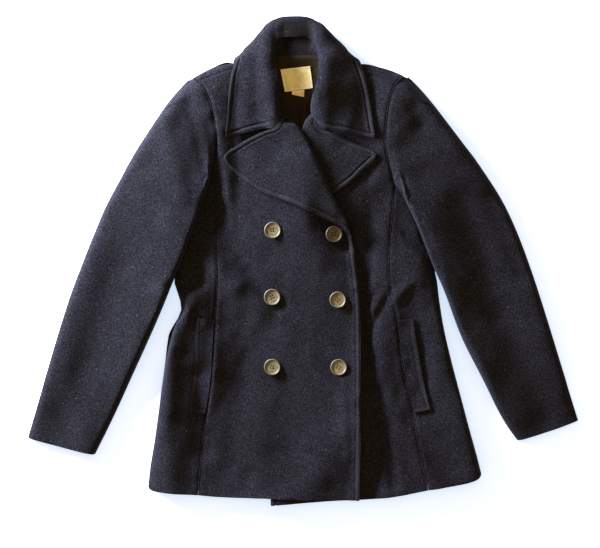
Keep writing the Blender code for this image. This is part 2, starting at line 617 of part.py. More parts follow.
def front_rows():
    """Rows of a front, with more close to the shoulder, where the cloth rounds over."""
    rows = chained_steps(PRINCESS_SHARE, SIDE_STEPS, ARMHOLE_STEPS)
    return rows[:-1] + list(SHOULDER_ROWS)


def fold_steps(width, radius=FOLD_RADIUS):
    """Shares of a width at which a rounded fold has its points, from its edge inwards."""
    return [radius * (1 - math.cos(math.radians(a))) / width for a in FOLD_ANGLES]


def make_side(name, side_line, hem, princess, underarm, mirrored):
    """A side panel, from the princess seam round to the side fold."""
    fold = fold_steps(SIDE_PANEL_WIDTH)
    steps = fold + [fold[-1] + (1 - fold[-1]) * t for t in SIDE_PANEL_COLUMNS]
    gap = (-SEAM if mirrored else SEAM) / 2
    side = curve(side_line)
    seam = curve(princess, gap)
    hem_edge = curve(hem)
    if mirrored:
        steps = [1 - s for s in reversed(steps)]
        plan = patch(hem_edge, side, curve(underarm), seam, lambda v: steps, even(SIDE_STEPS))
    else:
        plan = patch(hem_edge, seam, curve(underarm[::-1]), side, lambda v: steps,
                     even(SIDE_STEPS))
    wall(name, lifted(plan, side_height(side_line)), CLOTH, floor=shoulder_foot,
         plumb=("left" if mirrored else "right",))


# ---------------------------------------------------------------- sleeves
def sleeve_support(side_line, underarm, princess):
    """Height of what lies under a sleeve: the ground, or the side of the body."""
    outline = list(side_line) + list(underarm[::-1]) + list(princess[::-1])
    edges = side_line + underarm[::-1]

    def height(x, y):
        away = distance_to(edges, x, y)
        on_body = front_height(x, y) + LAYER
        if inside(outline, x, y):
            return on_body
        return on_body * smooth_step((SLEEVE_RAMP - away) / SLEEVE_RAMP)
    return height


def sleeve_columns(width, v):
    """Shares of the width for one row: close together at both folds, even at the armhole."""
    near = [SLEEVE_RADIUS / width * f for f in SLEEVE_FOLD_COLUMNS]
    tight = near + [0.5] + [1 - f for f in reversed(near)]
    blend = smooth_step((SLEEVE_EVEN_FROM - v) / SLEEVE_EVEN_FADE)
    return [(1 - blend) * a + blend * b for a, b in zip(even(SLEEVE_COLUMNS), tight)]


def make_sleeve_top(name, outer, inner, cuff, armhole, support, folds, mirrored):
    """The visible half of a sleeve: from the outer fold over the arm to the inner fold."""
    outer_at, inner_at = curve(outer), curve(inner)
    seam = curve(armhole, -SEAM if mirrored else SEAM)
    length = path_length(outer)
    loft = np.array(SLEEVE_LOFT)

    def width_at(v):
        return float(np.linalg.norm(outer_at(1 - v) - inner_at(1 - v)))

    plan = patch(curve(cuff), backwards(inner_at), backwards(seam), backwards(outer_at),
                 lambda v: sleeve_columns(width_at(v), v), SLEEVE_ROWS)
    grid = []
    for v, row in zip(SLEEVE_ROWS, plan):
        share = 1.0 - v
        width = width_at(v)
        line = []
        for u, (x, y) in zip(sleeve_columns(width, v), row):
            under = support(x, y)
            low = under + CLOTH + RIM
            crown = np.interp(share, loft[:, 0], loft[:, 1]) + 0.5 * under
            for s0, u0, s1, u1, half_width, rise in folds:
                crown += ridge(u * width, share * length, u0 * width, s0 * length,
                               u1 * width, s1 * length, half_width, rise)
            turn = rounded(u * width, SLEEVE_RADIUS) * rounded((1 - u) * width, SLEEVE_RADIUS)
            at_seam = surface_height(x, y)
            z = low + (crown - low) * turn
            z = at_seam + (z - at_seam) * smooth_step(share * length / SLEEVE_HEAD)
            line.append((x, y, low if u in (0.0, 1.0) else z))
        grid.append(line)
    wall(name, grid, CLOTH, floor=lambda x, y: support(x, y) + CLOTH, plumb=("top",))


def make_sleeve_under(name, outer, inner, cuff, back_armhole, underarm, support, mirrored):
    """The half of a sleeve that lies on the ground and on the body's side.

    It has two grids: the arm up to the underarm, and the cap between the outer fold and the
    back's armhole.
    """
    outer_at, inner_at = curve(outer), curve(inner)
    seam = curve(back_armhole[::-1], SEAM if mirrored else -SEAM)
    half = SLEEVE_COLUMNS // 2
    wing = curve((outer_at(UNDERARM_SHARE), seam(1.0)))
    upper = chain(wing, backwards(curve(underarm)), 0.5)

    def outer_below(t):
        return outer_at(1.0 - (1.0 - UNDERARM_SHARE) * t)

    arm = patch(curve(cuff), backwards(inner_at), upper, outer_below,
                lambda v: even(SLEEVE_COLUMNS), SLEEVE_ROWS)
    cap = [[np.array(p) for p in arm[-1][:half + 1]]]
    for share in reversed([CAP_START] + even(SLEEVE_COLUMNS)[1:-1]):
        start, end = outer_at(share * UNDERARM_SHARE), seam(share)
        cap.append([start + (end - start) * k / half for k in range(half + 1)])
    wall(name, lifted(arm, support), CLOTH, side="up", joined=(lifted(cap, support),))


# ---------------------------------------------------------------- collar, stand and lapels
def collar_sections(first, last):
    """Sections at even steps round the neck, with smooth curves along each column."""
    columns = [np.array([row[k] for row in COLLAR], dtype=float) for k in range(6)]
    dense = [spline_points(column) for column in columns]
    sections = []
    for i in range(COLLAR_STEPS + 1):
        place = first + (last - first) * i / COLLAR_STEPS
        at = np.linspace(0.0, 1.0, len(dense[0]))
        sections.append((place, [np.array([np.interp(place, at, d[:, k]) for k in range(3)])
                                 for d in dense]))
    return sections


def stand_seam(neck, inner, gap):
    """The seam between stand and collar, moved along the cloth by a gap."""
    way = (inner - neck) / np.linalg.norm(inner - neck)
    return neck + (inner - neck) * STAND_SHARE + way * gap


def shoulder_side(x, y):
    """Whether a place lies on the fronts, below the shoulder lines."""
    line = np.array(RIGHT_SHOULDER + LEFT_SHOULDER[::-1], dtype=float)
    return y < np.interp(x, line[:, 0], line[:, 1]) - 1.0


def make_collar():
    """The collar: from the stand's seam over the crest and down the fall to its edge."""
    grid = []
    for place, (neck, inner, crest, fall, tuck, edge) in collar_sections(0.0, 1.0):
        seam = stand_seam(neck, inner, STAND_GAP / 2)
        section = curve((seam, inner, crest, fall, tuck, edge))
        on_the_front = not COLLAR_FRONT_SHARE < place < 1 - COLLAR_FRONT_SHARE
        line = []
        for t in COLLAR_ROWS:
            x, y, z = section(t)
            z = max(z, DOUBLE / 2)
            if t > COLLAR_FALL_FROM and on_the_front and shoulder_side(x, y):
                z = max(z, surface_height(x, y) + LAYER + SEAM + DOUBLE / 2)
            line.append((x, y, z))
        grid.append(line)
    wall("collar", grid, DOUBLE, side="centred")


def make_stand():
    """The collar stand: a band from the neck seam up to the collar."""
    grid = []
    for _, (neck, inner, *_) in collar_sections(*STAND_ENDS):
        top = stand_seam(neck, inner, -STAND_GAP / 2)
        grid.append([neck + (top - neck) * t for t in even(2)])
    wall("collar_stand", grid, STAND, side="centred")


def make_lapel(name, roll, upper, lower, height, crown, roll_radius):
    """A lapel: the facing turned back from the roll line on to its front."""
    roll_at, lower_at = curve(roll), curve(lower)
    bottom = curve((roll_at(1.0), lower_at(1.0)))
    plan = patch(bottom, backwards(lower_at), curve(upper), backwards(roll_at),
                 lambda v: LAPEL_COLUMNS, LAPEL_ROWS)
    grid = []
    for row in plan:
        start, end = row[0], row[-1]
        width = float(np.linalg.norm(end - start))
        line = []
        for x, y in row:
            away = float(np.linalg.norm(np.array((x, y)) - start))
            bulge = math.exp(-((away - LAPEL_BULGE_AT) / LAPEL_BULGE_REACH) ** 2)
            bulge *= min(1.0, width / 110.0) * smooth_step((width - away) / 40.0)
            full = DOUBLE + LAYER + crown * bulge
            base = height(x, y)
            turn = rounded(away, min(roll_radius, 0.4 * width))
            z = base + ROLL_CLEAR + (full - ROLL_CLEAR) * turn
            line.append((x, y, z))
        grid.append(line)
    wall(name, grid, DOUBLE, side="down", floor=lambda x, y: height(x, y) + SEAM)


# ---------------------------------------------------------------- small pieces
def make_welt(name, outer, inner, height, mirrored):
    """A pocket welt, lying on its side panel with its outer edge free."""
    outer_at, inner_at = curve(outer), curve(inner)
    ends = (curve((outer[-1], inner[-1])), curve((outer[0], inner[0])))
    plan = patch(ends[0], backwards(inner_at), ends[1], backwards(outer_at),
                 lambda v: WELT_COLUMNS, even(WELT_STEPS))
    if mirrored:
        plan = [row[::-1] for row in plan]
    grid = lifted(plan, lambda x, y: height(x, y) + LAYER)
    wall(name, grid, WELT, side="up")


def flat_piece(name, corners, clearance, thickness, steps, colour):
    """A flat four-cornered piece that lies on the back."""
    a, b, c, d = corners
    plan = patch(curve((d, c)), curve((c, b)), curve((a, b)), curve((d, a)),
                 lambda v: even(steps[0]), even(steps[1]))
    grid = lifted(plan, lambda x, y: neck_lift(x, y) + CLOTH + clearance)
    wall(name, grid, thickness, colour=colour, side="up")


def make_button(name, x, y):
    """A four-hole button with a raised rim, lying flat on the cloth."""
    bm = bmesh.new()
    turn = 2 * math.pi / BUTTON_SIDES
    rings = []
    for radius, z in BUTTON_PROFILE:
        rings.append([bm.verts.new((radius * math.cos(i * turn), radius * math.sin(i * turn), z))
                      for i in range(BUTTON_SIDES)])
    for low, high in zip(rings, rings[1:]):
        for i in range(BUTTON_SIDES):
            j = (i + 1) % BUTTON_SIDES
            bm.faces.new((low[i], low[j], high[j], high[i]))
    bm.faces.new(rings[0][::-1])
    bm.faces.new(rings[-1])
    drill = bmesh.new()
    for sx in (-1, 1):
        for sy in (-1, 1):
            hole = Matrix.Translation((sx * BUTTON_HOLE_SPACING, sy * BUTTON_HOLE_SPACING, 0))
            bmesh.ops.create_cone(drill, cap_ends=True, segments=8, radius1=BUTTON_HOLE_RADIUS,
                                  radius2=BUTTON_HOLE_RADIUS, depth=BUTTON_DRILL, matrix=hole)
    normal = Vector(surface_normal(x, y))
    place = Vector((x, y, top_front_height(x, y))) + normal * BUTTON_CLEAR
    place = Matrix.Translation(place) @ normal.to_track_quat("Z", "Y").to_matrix().to_4x4()
    for shape in (bm, drill):
        bmesh.ops.transform(shape, matrix=place, verts=shape.verts)
    made = add_object(name, bm, HORN, HORN_ROUGHNESS)
    cutter = add_object(name + "_holes", drill, HORN, HORN_ROUGHNESS)
    cutter.hide_render = True
    cutter.display_type = "WIRE"
    cut = made.modifiers.new("holes", "BOOLEAN")
    cut.operation = "DIFFERENCE"
    cut.object = cutter


def surface_normal(x, y, step=9.0):
    """Direction that the top front faces at a place."""
    slope_x = (top_front_height(x + step, y) - top_front_height(x - step, y)) / (2 * step)
    slope_y = (top_front_height(x, y + step) - top_front_height(x, y - step)) / (2 * step)
    length = math.sqrt(slope_x ** 2 + slope_y ** 2 + 1)
    return (-slope_x / length, -slope_y / length, 1 / length)


def centre_on_ground():
    """Move every piece so that the middle of the coat's box, at its foot, is the origin."""
    pieces = [o for o in bpy.data.objects if o.type == "MESH"]
    solid = [o for o in pieces if not o.hide_render]
    corners = np.array([v.co[:] for o in solid for v in o.data.vertices])
    low, high = corners.min(axis=0), corners.max(axis=0)
    shift = Vector((-(low[0] + high[0]) / 2, -(low[1] + high[1]) / 2, -low[2]))
    for piece in pieces:
        piece.data.transform(Matrix.Translation(shift))


def main():
    for old in list(bpy.data.objects):
        bpy.data.objects.remove(old, do_unlink=True)
    make_back()
    make_right_front_centre()
    make_left_front_centre()
    make_side("right_front_side", RIGHT_SIDE_LINE, RIGHT_SIDE_HEM, RIGHT_PRINCESS,
              RIGHT_UNDERARM, False)
    make_side("left_front_side", LEFT_SIDE_LINE, LEFT_SIDE_HEM, LEFT_PRINCESS,
              LEFT_UNDERARM, True)
    right_support = sleeve_support(RIGHT_SIDE_LINE, RIGHT_UNDERARM, RIGHT_PRINCESS)
    left_support = sleeve_support(LEFT_SIDE_LINE, LEFT_UNDERARM, LEFT_PRINCESS)
    make_sleeve_top("right_sleeve_top", RIGHT_SLEEVE_OUTER, RIGHT_SLEEVE_INNER, RIGHT_CUFF,
                    RIGHT_ARMHOLE, right_support, RIGHT_SLEEVE_FOLDS, False)
    make_sleeve_top("left_sleeve_top", LEFT_SLEEVE_OUTER, LEFT_SLEEVE_INNER, LEFT_CUFF,
                    LEFT_ARMHOLE, left_support, LEFT_SLEEVE_FOLDS, True)
    make_sleeve_under("right_sleeve_under", RIGHT_SLEEVE_OUTER, RIGHT_SLEEVE_INNER, RIGHT_CUFF,
                      RIGHT_BACK_ARMHOLE, RIGHT_UNDERARM, right_support, False)
    make_sleeve_under("left_sleeve_under", LEFT_SLEEVE_OUTER, LEFT_SLEEVE_INNER, LEFT_CUFF,
                      LEFT_BACK_ARMHOLE, LEFT_UNDERARM, left_support, True)
    make_stand()
    make_collar()
    make_lapel("left_lapel", LEFT_LAPEL_ROLL, LEFT_LAPEL_UPPER, LEFT_LAPEL_LOWER,
               under_front_height, 0.0, 6.0)
    make_lapel("right_lapel", RIGHT_LAPEL_ROLL, RIGHT_LAPEL_UPPER, RIGHT_LAPEL_LOWER,
               top_front_height, 5.5, 10.0)
    make_welt("right_pocket_welt", RIGHT_WELT_OUTER, RIGHT_WELT_INNER,
              side_height(RIGHT_SIDE_LINE), False)
    make_welt("left_pocket_welt", LEFT_WELT_OUTER, LEFT_WELT_INNER,
              side_height(LEFT_SIDE_LINE), True)
    flat_piece("neck_lining", LINING_CORNERS, LINING_CLEAR, LINING, (5, 9), LINING_BROWN)
    on_lining = LINING_CLEAR + LINING + LABEL_CLEAR
    flat_piece("label", LABEL_CORNERS, on_lining, LABEL, (3, 3), CREAM)
    flat_piece("size_tab", TAB_CORNERS, on_lining, LABEL, (1, 1), CREAM)
    for number, (x, y) in enumerate(BUTTONS, start=1):
        make_button(f"button_{number}", x, y)
    centre_on_ground()


main()
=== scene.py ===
import json
import math

import bmesh
import bpy
import numpy as np
from bpy.props import FloatProperty, FloatVectorProperty, IntProperty, PointerProperty
from mathutils import Matrix, Vector
from mathutils.bvhtree import BVHTree

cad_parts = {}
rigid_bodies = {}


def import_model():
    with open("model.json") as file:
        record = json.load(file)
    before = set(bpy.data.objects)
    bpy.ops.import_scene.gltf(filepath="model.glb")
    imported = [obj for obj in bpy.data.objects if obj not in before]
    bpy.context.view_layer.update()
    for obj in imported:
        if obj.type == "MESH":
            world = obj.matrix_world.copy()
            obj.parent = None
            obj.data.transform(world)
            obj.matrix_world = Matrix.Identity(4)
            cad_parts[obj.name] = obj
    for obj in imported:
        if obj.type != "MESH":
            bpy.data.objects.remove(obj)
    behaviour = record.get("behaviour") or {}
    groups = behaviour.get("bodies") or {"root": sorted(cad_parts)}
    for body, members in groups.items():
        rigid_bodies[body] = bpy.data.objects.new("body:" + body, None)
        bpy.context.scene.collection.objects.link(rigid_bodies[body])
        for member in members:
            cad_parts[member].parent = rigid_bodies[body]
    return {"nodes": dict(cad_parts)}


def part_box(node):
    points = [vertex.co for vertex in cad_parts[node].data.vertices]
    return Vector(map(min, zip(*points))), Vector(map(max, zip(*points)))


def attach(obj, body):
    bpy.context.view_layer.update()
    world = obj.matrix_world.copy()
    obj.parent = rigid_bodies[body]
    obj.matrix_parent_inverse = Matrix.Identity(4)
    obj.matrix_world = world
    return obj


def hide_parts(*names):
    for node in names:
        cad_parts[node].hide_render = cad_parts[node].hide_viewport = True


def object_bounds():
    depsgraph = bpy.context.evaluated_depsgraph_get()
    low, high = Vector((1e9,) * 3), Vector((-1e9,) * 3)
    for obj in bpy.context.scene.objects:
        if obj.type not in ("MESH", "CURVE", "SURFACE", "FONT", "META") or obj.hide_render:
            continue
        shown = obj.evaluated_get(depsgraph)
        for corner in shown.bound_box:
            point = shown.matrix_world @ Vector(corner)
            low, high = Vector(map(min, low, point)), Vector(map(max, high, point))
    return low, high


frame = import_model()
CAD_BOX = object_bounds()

bl_info = {
    "name": "Pea Coat Laid Flat",
    "version": (1, 0, 0),
    "blender": (4, 5, 0),
    "location": "3D View > Sidebar > Pea Coat",
    "description": "Makes the cloth, sewing, buttons and labels of a double-breasted pea coat",
    "category": "Add Mesh",
}

MM = 0.001
DRAWING_ZERO = np.array((-0.5, 1.2))     # the cutting drawing's zero point in the frame (mm)
MERGE = 2e-6                             # points this near each other are one (m)
RIM_ANGLE = math.radians(50)             # edges of the cloth sharper than this are its rims
SHADE_ANGLE = math.radians(50)           # edges of finished cloth sharper than this stay hard
FOLDS_FROM, FOLDS_FADE = 3.0, 8.0        # height at which folds begin, and reach their rise (mm)
# Soft waves of the cloth: length (mm), share of the swell, step of the seed.
SOFT_WAVES = ((95.0, 1.0, 0), (38.0, 0.45, 50), (15.0, 0.16, 90))

# ---------------------------------------------------------------- the cutting drawing (mm)
# Each outline is a list of (x, y) points on the laid-out coat.  Left and right are the
# wearer's, so right comes first, at negative x.
RIGHT_PRINCESS = (
    (-166, -374), (-164, -336), (-158, -272), (-150, -224), (-144, -176), (-140, -96),
    (-136, -32), (-139, 48), (-144, 147),
)
LEFT_PRINCESS = (
    (200, -366), (186, -304), (175, -243), (162, -184), (154, -136), (149, -96),
    (138, -32), (137, 0), (140, 48), (146, 117),
)
RIGHT_ARMHOLE = (
    (-219, 90), (-197, 95), (-176, 106), (-158, 124), (-144, 147), (-140, 160), (-136, 179),
    (-139, 216), (-147, 253), (-158, 275), (-176, 290),
)
LEFT_ARMHOLE = (
    (216, 89), (195, 90), (176, 95), (160, 104), (146, 117), (139, 145), (131, 179),
    (132, 216), (138, 256), (148, 280), (162, 293),
)
RIGHT_SHOULDER_SEAM = ((-172, 281), (-160, 286), (-140, 293), (-122, 300), (-108, 304))
LEFT_SHOULDER_SEAM = ((160, 281), (146, 284), (126, 289), (104, 294))
TOP_FRONT_EDGE = (
    (90, -382), (91.5, -256), (91.5, -160), (91, -80), (88, -40), (84, -4), (79, 22), (75, 38),
)
UNDER_FRONT_EDGE = ((-51, -390), (-51, -200), (-51, -80), (-50, -20))
RIGHT_LAPEL_EDGE = (
    (-33.5, 223.5), (-40, 215.5), (-65, 203), (-92, 189), (-114, 175), (-122, 169),
    (-125.5, 161), (-121, 151), (-101, 133), (-84, 120), (-65, 108), (-44, 99), (-20, 91),
    (15, 75), (36, 65), (56, 55), (69, 45), (76, 34),
)
LEFT_LAPEL_EDGE = (
    (20, 225), (28, 213), (51, 199), (76, 187), (99, 177), (112, 173), (117, 166), (113, 159),
    (92, 139), (79, 126), (56, 109), (20, 87), (-12, 62), (-30, 40),
)
COLLAR_EDGE_RIGHT = (
    (-38, 225), (-62, 216), (-92, 207), (-122, 199), (-122, 221), (-119, 253), (-115, 285),
    (-110, 309), (-107, 320),
)
COLLAR_EDGE_LEFT = (
    (23, 225), (45, 213), (80, 205), (114, 199), (112, 222), (107, 251), (102, 278),
    (94, 304), (88, 318),
)
RIGHT_WELT_OUTLINE = (
    (-141.4, -93), (-167, -93), (-170.5, -125), (-172, -160), (-175, -200), (-180.5, -240),
    (-156, -246),
)
LEFT_WELT_OUTLINE = (
    (150.5, -94), (175, -93), (178, -119), (184, -150), (192, -195), (202, -237), (176.5, -244),
)

# The section of a topstitched edge: distance in from the edge, height over the cloth (mm).
TURNED_EDGE = (
    (0.0, -1.0), (0.6, -0.35), (1.5, 0.25), (3.0, 0.65), (4.5, 0.6), (6.0, 0.15), (6.9, -0.7),
    (7.5, -1.05), (8.1, -0.75), (9.2, 0.1), (10.8, 0.3), (13.0, 0.12), (16.0, 0.0),
)
TURNED_EDGE_REACH = 16.0
# The section of a plain seam, from the seam outwards on either side.
PRESSED_SEAM = ((0.0, -1.1), (1.0, -0.7), (2.2, -0.2), (5.0, 0.2), (9.0, 0.1), (13.0, 0.0))
PRESSED_SEAM_REACH = 13.0
SHOULDER_SECTION = ((0.0, -0.9), (0.9, -0.5), (2.0, 0.1), (5.0, 0.2), (9.0, 0.0))
SHOULDER_REACH = 9.0

# Soft folds of the laid coat: start, end, half width, rise (mm; hollows are negative).
# A separate fitting program worked these rows out; they were not placed by hand.
FOLDS = (
    (-62, 396, -68, 242, 26, -9.7), (-87, -120, -114, -327, 35, -8.2),
    (139, 251, 122, 187, 35, 9.1), (255, -242, 270, -342, 35, 9.0),
    (-221, -55, -211, -369, 23, 8.4), (-138, 254, -201, 154, 35, 7.9),
    (-12, 32, 269, -201, 35, 7.8), (-7, 340, 75, 116, 35, 7.8), (255, 86, 387, -251, 35, -7.3),
    (95, -247, -9, -410, 35, 7.3), (-168, -185, -158, -302, 20, -7.1),
    (-32, -383, -111, -402, 18, 7.0), (22, 317, 67, 300, 23, -6.9), (-152, 82, -57, 8, 26, -6.2),
    (-35, -199, -26, -296, 35, -5.8), (4, 117, -1, 94, 34, 5.8), (-137, -77, -132, -101, 23, -5.7),
    (-128, 205, -124, 105, 16, 5.7), (-294, -17, -386, -279, 30, -5.5),
    (177, -152, 134, -234, 29, -5.2), (-186, -75, -196, -133, 15, 5.2),
    (-210, 59, -105, -40, 15, 5.1), (76, 217, 87, 213, 19, 4.9), (65, 43, 90, -24, 13, -4.7),
    (301, 96, 348, -21, 19, -4.6), (79, -227, 128, -410, 20, 4.5), (174, -36, 270, -171, 27, 4.4),
    (26, -38, 39, -46, 29, 4.2), (-252, -102, -305, -327, 21, 4.2), (180, 235, 188, 216, 15, -4.1),
    (12, -153, 86, -214, 19, 4.1), (-157, 337, -226, 208, 24, 4.0), (179, 338, 168, 286, 17, 4.0),
    (-150, 323, -164, 309, 24, 3.9), (-162, -35, -210, -43, 9, -3.9), (51, 370, -27, 355, 15, 3.8),
    (121, -208, 145, -357, 10, -3.6), (-216, 217, -188, 104, 17, 3.6),
    (-85, -342, -87, -353, 13, -3.5), (-187, -386, -142, -407, 26, 3.3),
    (1, 249, 19, 171, 13, 3.3), (195, 24, 311, -87, 17, -3.3), (104, 35, 139, 14, 16, -2.9),
    (156, -116, 199, -78, 21, -2.9), (150, -247, 240, -410, 15, 2.8),
    (428, -222, 439, -313, 15, -2.8), (194, -188, 171, -252, 17, -2.8),
    (37, 334, -46, 305, 14, -2.6), (-100, -124, 44, -267, 13, -2.6),
    (-321, -168, -238, -307, 30, -2.5), (61, 177, 74, 134, 17, -2.5),
    (-116, 133, -115, 52, 11, 2.5), (-106, 252, -184, 244, 23, -2.5),
    (-419, -250, -412, -254, 21, -2.4), (-72, 114, -81, 77, 19, -2.3),
    (86, -379, 203, -386, 23, 2.3), (-379, -175, -318, -408, 19, 2.3),
    (-72, -82, -119, -204, 17, 2.3), (233, 175, 123, 138, 22, 2.2), (159, 127, 219, -26, 7, -2.2),
    (371, -134, 351, -245, 35, 2.2), (-68, -100, -12, -143, 13, 2.2),
    (-234, 7, -225, -10, 35, 2.1), (-183, 268, -143, 97, 10, -1.9), (59, 63, 49, 23, 12, -1.9),
    (247, -40, 223, -174, 21, 1.9), (116, 290, 128, 252, 14, -1.9), (189, -34, 114, -84, 13, 1.8),
    (-163, 250, -92, 192, 13, 1.8), (-100, -2, 59, -177, 10, -1.8), (-30, 187, -141, 88, 25, -1.7),
    (-20, 242, -12, 234, 18, 1.7), (-129, 261, -31, 191, 12, -1.6), (63, -202, 72, -313, 7, 1.6),
    (84, -174, 219, -292, 21, 1.6), (88, 12, 98, -124, 7, -1.6), (112, 177, 111, 167, 13, -1.6),
    (-251, -277, -241, -352, 7, -1.5), (-205, 155, -268, 133, 19, -1.5),
    (161, -162, 72, -397, 11, 1.5), (-89, -21, -42, -80, 9, -1.5), (-126, -9, -290, -185, 17, 1.4),
    (42, -366, 18, -362, 14, -1.3), (76, -282, 31, -380, 18, -1.3), (-24, 30, -66, -218, 14, -1.3),
    (29, 278, 30, 255, 10, -1.3), (-113, -47, 7, -110, 14, 1.2), (237, 294, 136, 182, 14, 1.2),
    (126, 136, 27, 0, 19, 1.2), (-73, -297, 92, -410, 15, -1.1), (-255, -98, -147, -173, 12, -1.0),
    (-90, 372, -56, 366, 12, 1.0), (50, 35, -34, 19, 18, -0.9), (11, -159, 86, -219, 13, 0.9),
    (-48, -228, 69, -410, 16, 0.8), (128, -128, -2, -310, 21, 0.8),
    (251, -229, 10, -246, 21, -0.8), (-124, -165, -62, -392, 19, 0.7),
    (31, 410, -19, 400, 15, -0.5), (39, 410, 92, 241, 15, 0.5),
)

# Sharper creases: at both waists, about the right pocket, below the left armhole and
# under the lapel's lower edge.
CREASES = (
    (168, -37, 146, -65, 5, 1.2), (178, -46, 158, -72, 7, -1.6), (190, -44, 170, -70, 13, -1.2),
    (124, -56, 107, -80, 7, 0.9), (134, -68, 116, -92, 8, -1.2), (144, -62, 128, -84, 12, -0.6),
    (-176, -60, -152, -92, 8, 1.2), (-184, -72, -164, -96, 8, -1.8),
    (37, 59, 63, 22, 14, -5.2), (4, 84, 14, 34, 14, 2.2),
    (164, 40, 196, 12, 6, -1.6), (158, 30, 188, 2, 6, 1.0),
    (-90, -148, -138, -243, 9, -0.8), (-173, -96, -181, -240, 13, 1.4),
    (-143, -90, -156, -244, 12, -1.4), (-205, -118, -208, -238, 13, 2.0),
    (143, -45, 111, -104, 6, -1.6),
)

# Folds of one piece alone, added to the coat's.
TOP_FRONT_FOLDS = (
    (77, 38, 87, -40, 9, 5.4), (90, -60, 92, -390, 10, 3.6),
    (-137, -70, -142, -176, 14, 3.2), (-142, -176, -156, -262, 14, 3.2),
    (-137, -70, -142, -176, 4, 0.9), (-142, -176, -156, -272, 4, 0.9),
)
UNDER_FRONT_FOLDS = (
    (98, -30, 100, -160, 9, -4.6), (102, -160, 118, -385, 16, -5.0), (106, 60, 106, -20, 12, -2.4),
)
RIGHT_LAPEL_FOLDS = ((-20, 91, 66, 48, 13, 3.6), (37, 61, 63, 22, 13, 3.8))
COLLAR_FOLDS = ((-60, 366, -60, 262, 15, 3.2), (-46, 384, 12, 386, 8, 3.0))
# Where the notches settle: middle, half width and shift (mm); and how far the collar's lower
# edge comes down.
NOTCHES = ((-36.0, 226.0, 22.0, -7.0, -9.5), (22.0, 226.0, 22.0, 5.0, -9.5))
COLLAR_COMES_DOWN = 5.5
COLLAR_DOWN_FROM, COLLAR_DOWN_FADE = 264.0, 52.0
NOTCH_FLAT = 20.0                        # how far from a notch its turned edges are pressed flat
# Where the back and lining sag inside the neck: middle, half width, from, to, depth (mm).
NECK_SAG = (-8.0, 42.0, 204.0, 318.0, 3.6)
NECK_SAG_FADES = (12.0, 26.0, 16.0)      # to the sides, at the low end, at the high end (mm)
LABEL_LIFT = 0.45                        # how far the labels lie clear of the lining (mm)
LABEL_TIP = 0.016                        # how much the label falls away to the wearer's left
# The hollow inside the back of the neck: middle, half width and height (mm).
NECK_HOLLOW = (-10.0, 32.0, 316.0, 384.0)
NECK_HOLLOW_FADES = (15.0, 20.0)         # to the sides, at either end (mm)
COLLAR_SINKS, STAND_SINKS = 5.6, 1.2     # how far each goes down in that hollow (mm)
STAND_TUCK = 9.0                         # how far the stand's upper edge goes under the collar
TUCK_FROM, TUCK_FADE = 330.0, 22.0       # where that tuck begins, and comes to its full depth
TUCK_DROP = 0.12                         # share of the tuck by which it also goes down
# The neck's shade is painted: these shares darken and warm the wool's colour in the neck's hollow.
STAND_PAINTED_SHADE, COLLAR_PAINTED_SHADE = 0.6, 1.0     # how much of the neck's shade falls on each
LINING_REACH = 9.0                       # how far the lining goes on up to the stand (mm)

# Where the side edges are drawn in at the waist: height, half height, depth (mm; outwards is
# negative).
RIGHT_NIPS = ((-78.0, 19.0, 6.8), (-35.0, 13.0, -3.2))
LEFT_NIPS = ((-15.0, 13.0, 3.2),)
# The pleat down the lining: middle, the height there, lean, half width, rise (mm).
LINING_PLEAT = (4.0, 250.0, 0.06, 1.6, 0.7)

# ---------------------------------------------------------------- cloth pieces
# node, piece, subdivisions, rests on, (flat width, flat length) and flat area in square metres
BACK = ("back", "cloth_back", 2, (), (0.56, 0.71), 0.290)
FRONTS = (
    ("left_front_centre", "cloth_left_front", 3, ("cloth_back",), (0.26, 0.72), 0.128),
    ("right_front_centre", "cloth_right_front", 3, ("cloth_left_front",), (0.28, 0.71), 0.139),
)
SIDES = (
    ("right_front_side", "cloth_right_side", 3, ("cloth_back",), (0.10, 0.53), 0.037),
    ("left_front_side", "cloth_left_side", 3, ("cloth_back",), (0.11, 0.50), 0.038),
)
SLEEVE_UNDERS = (
    ("right_sleeve_under", "cloth_right_sleeve_under", 2, ("cloth_right_side",),
     (0.18, 0.62), 0.071),
    ("left_sleeve_under", "cloth_left_sleeve_under", 2, ("cloth_left_side",),
     (0.17, 0.61), 0.067),
)
SLEEVE_TOPS = (
    ("right_sleeve_top", "cloth_right_sleeve", 3, ("cloth_right_sleeve_under",),
     (0.20, 0.65), 0.086),
    ("left_sleeve_top", "cloth_left_sleeve", 3, ("cloth_left_sleeve_under",),
     (0.19, 0.64), 0.082),
)
LAPELS = (
    ("left_lapel", "cloth_left_lapel", 3, ("cloth_left_front",), (0.13, 0.21), 0.0135),
    ("right_lapel", "cloth_right_lapel", 3, ("cloth_right_front",), (0.17, 0.22), 0.0172),
)
WELTS = (
    ("right_pocket_welt", "cloth_right_welt", 3, ("cloth_right_side",), (0.030, 0.150), 0.0044),
    ("left_pocket_welt", "cloth_left_welt", 3, ("cloth_left_side",), (0.029, 0.150), 0.0042),
)
STAND = ("collar_stand", "cloth_collar_stand", 2, ("cloth_back",), (0.14, 0.045), 0.0036)
COLLAR = ("collar", "cloth_collar", 3, ("cloth_right_front", "cloth_left_front"),
          (0.52, 0.13), 0.040)
LINING = ("neck_lining", "lining_neck", 3, ("cloth_back",), (0.097, 0.123), 0.0112)
LABEL = ("label", "label_woven", (0.046, 0.037))
TAB = ("size_tab", "label_size_tab", (0.020, 0.0105))
LABEL_OUTLINE = ((-36.4, 304.0), (13.2, 310.4), (16.4, 273.6), (-26.8, 267.2), (-36.4, 304.0))

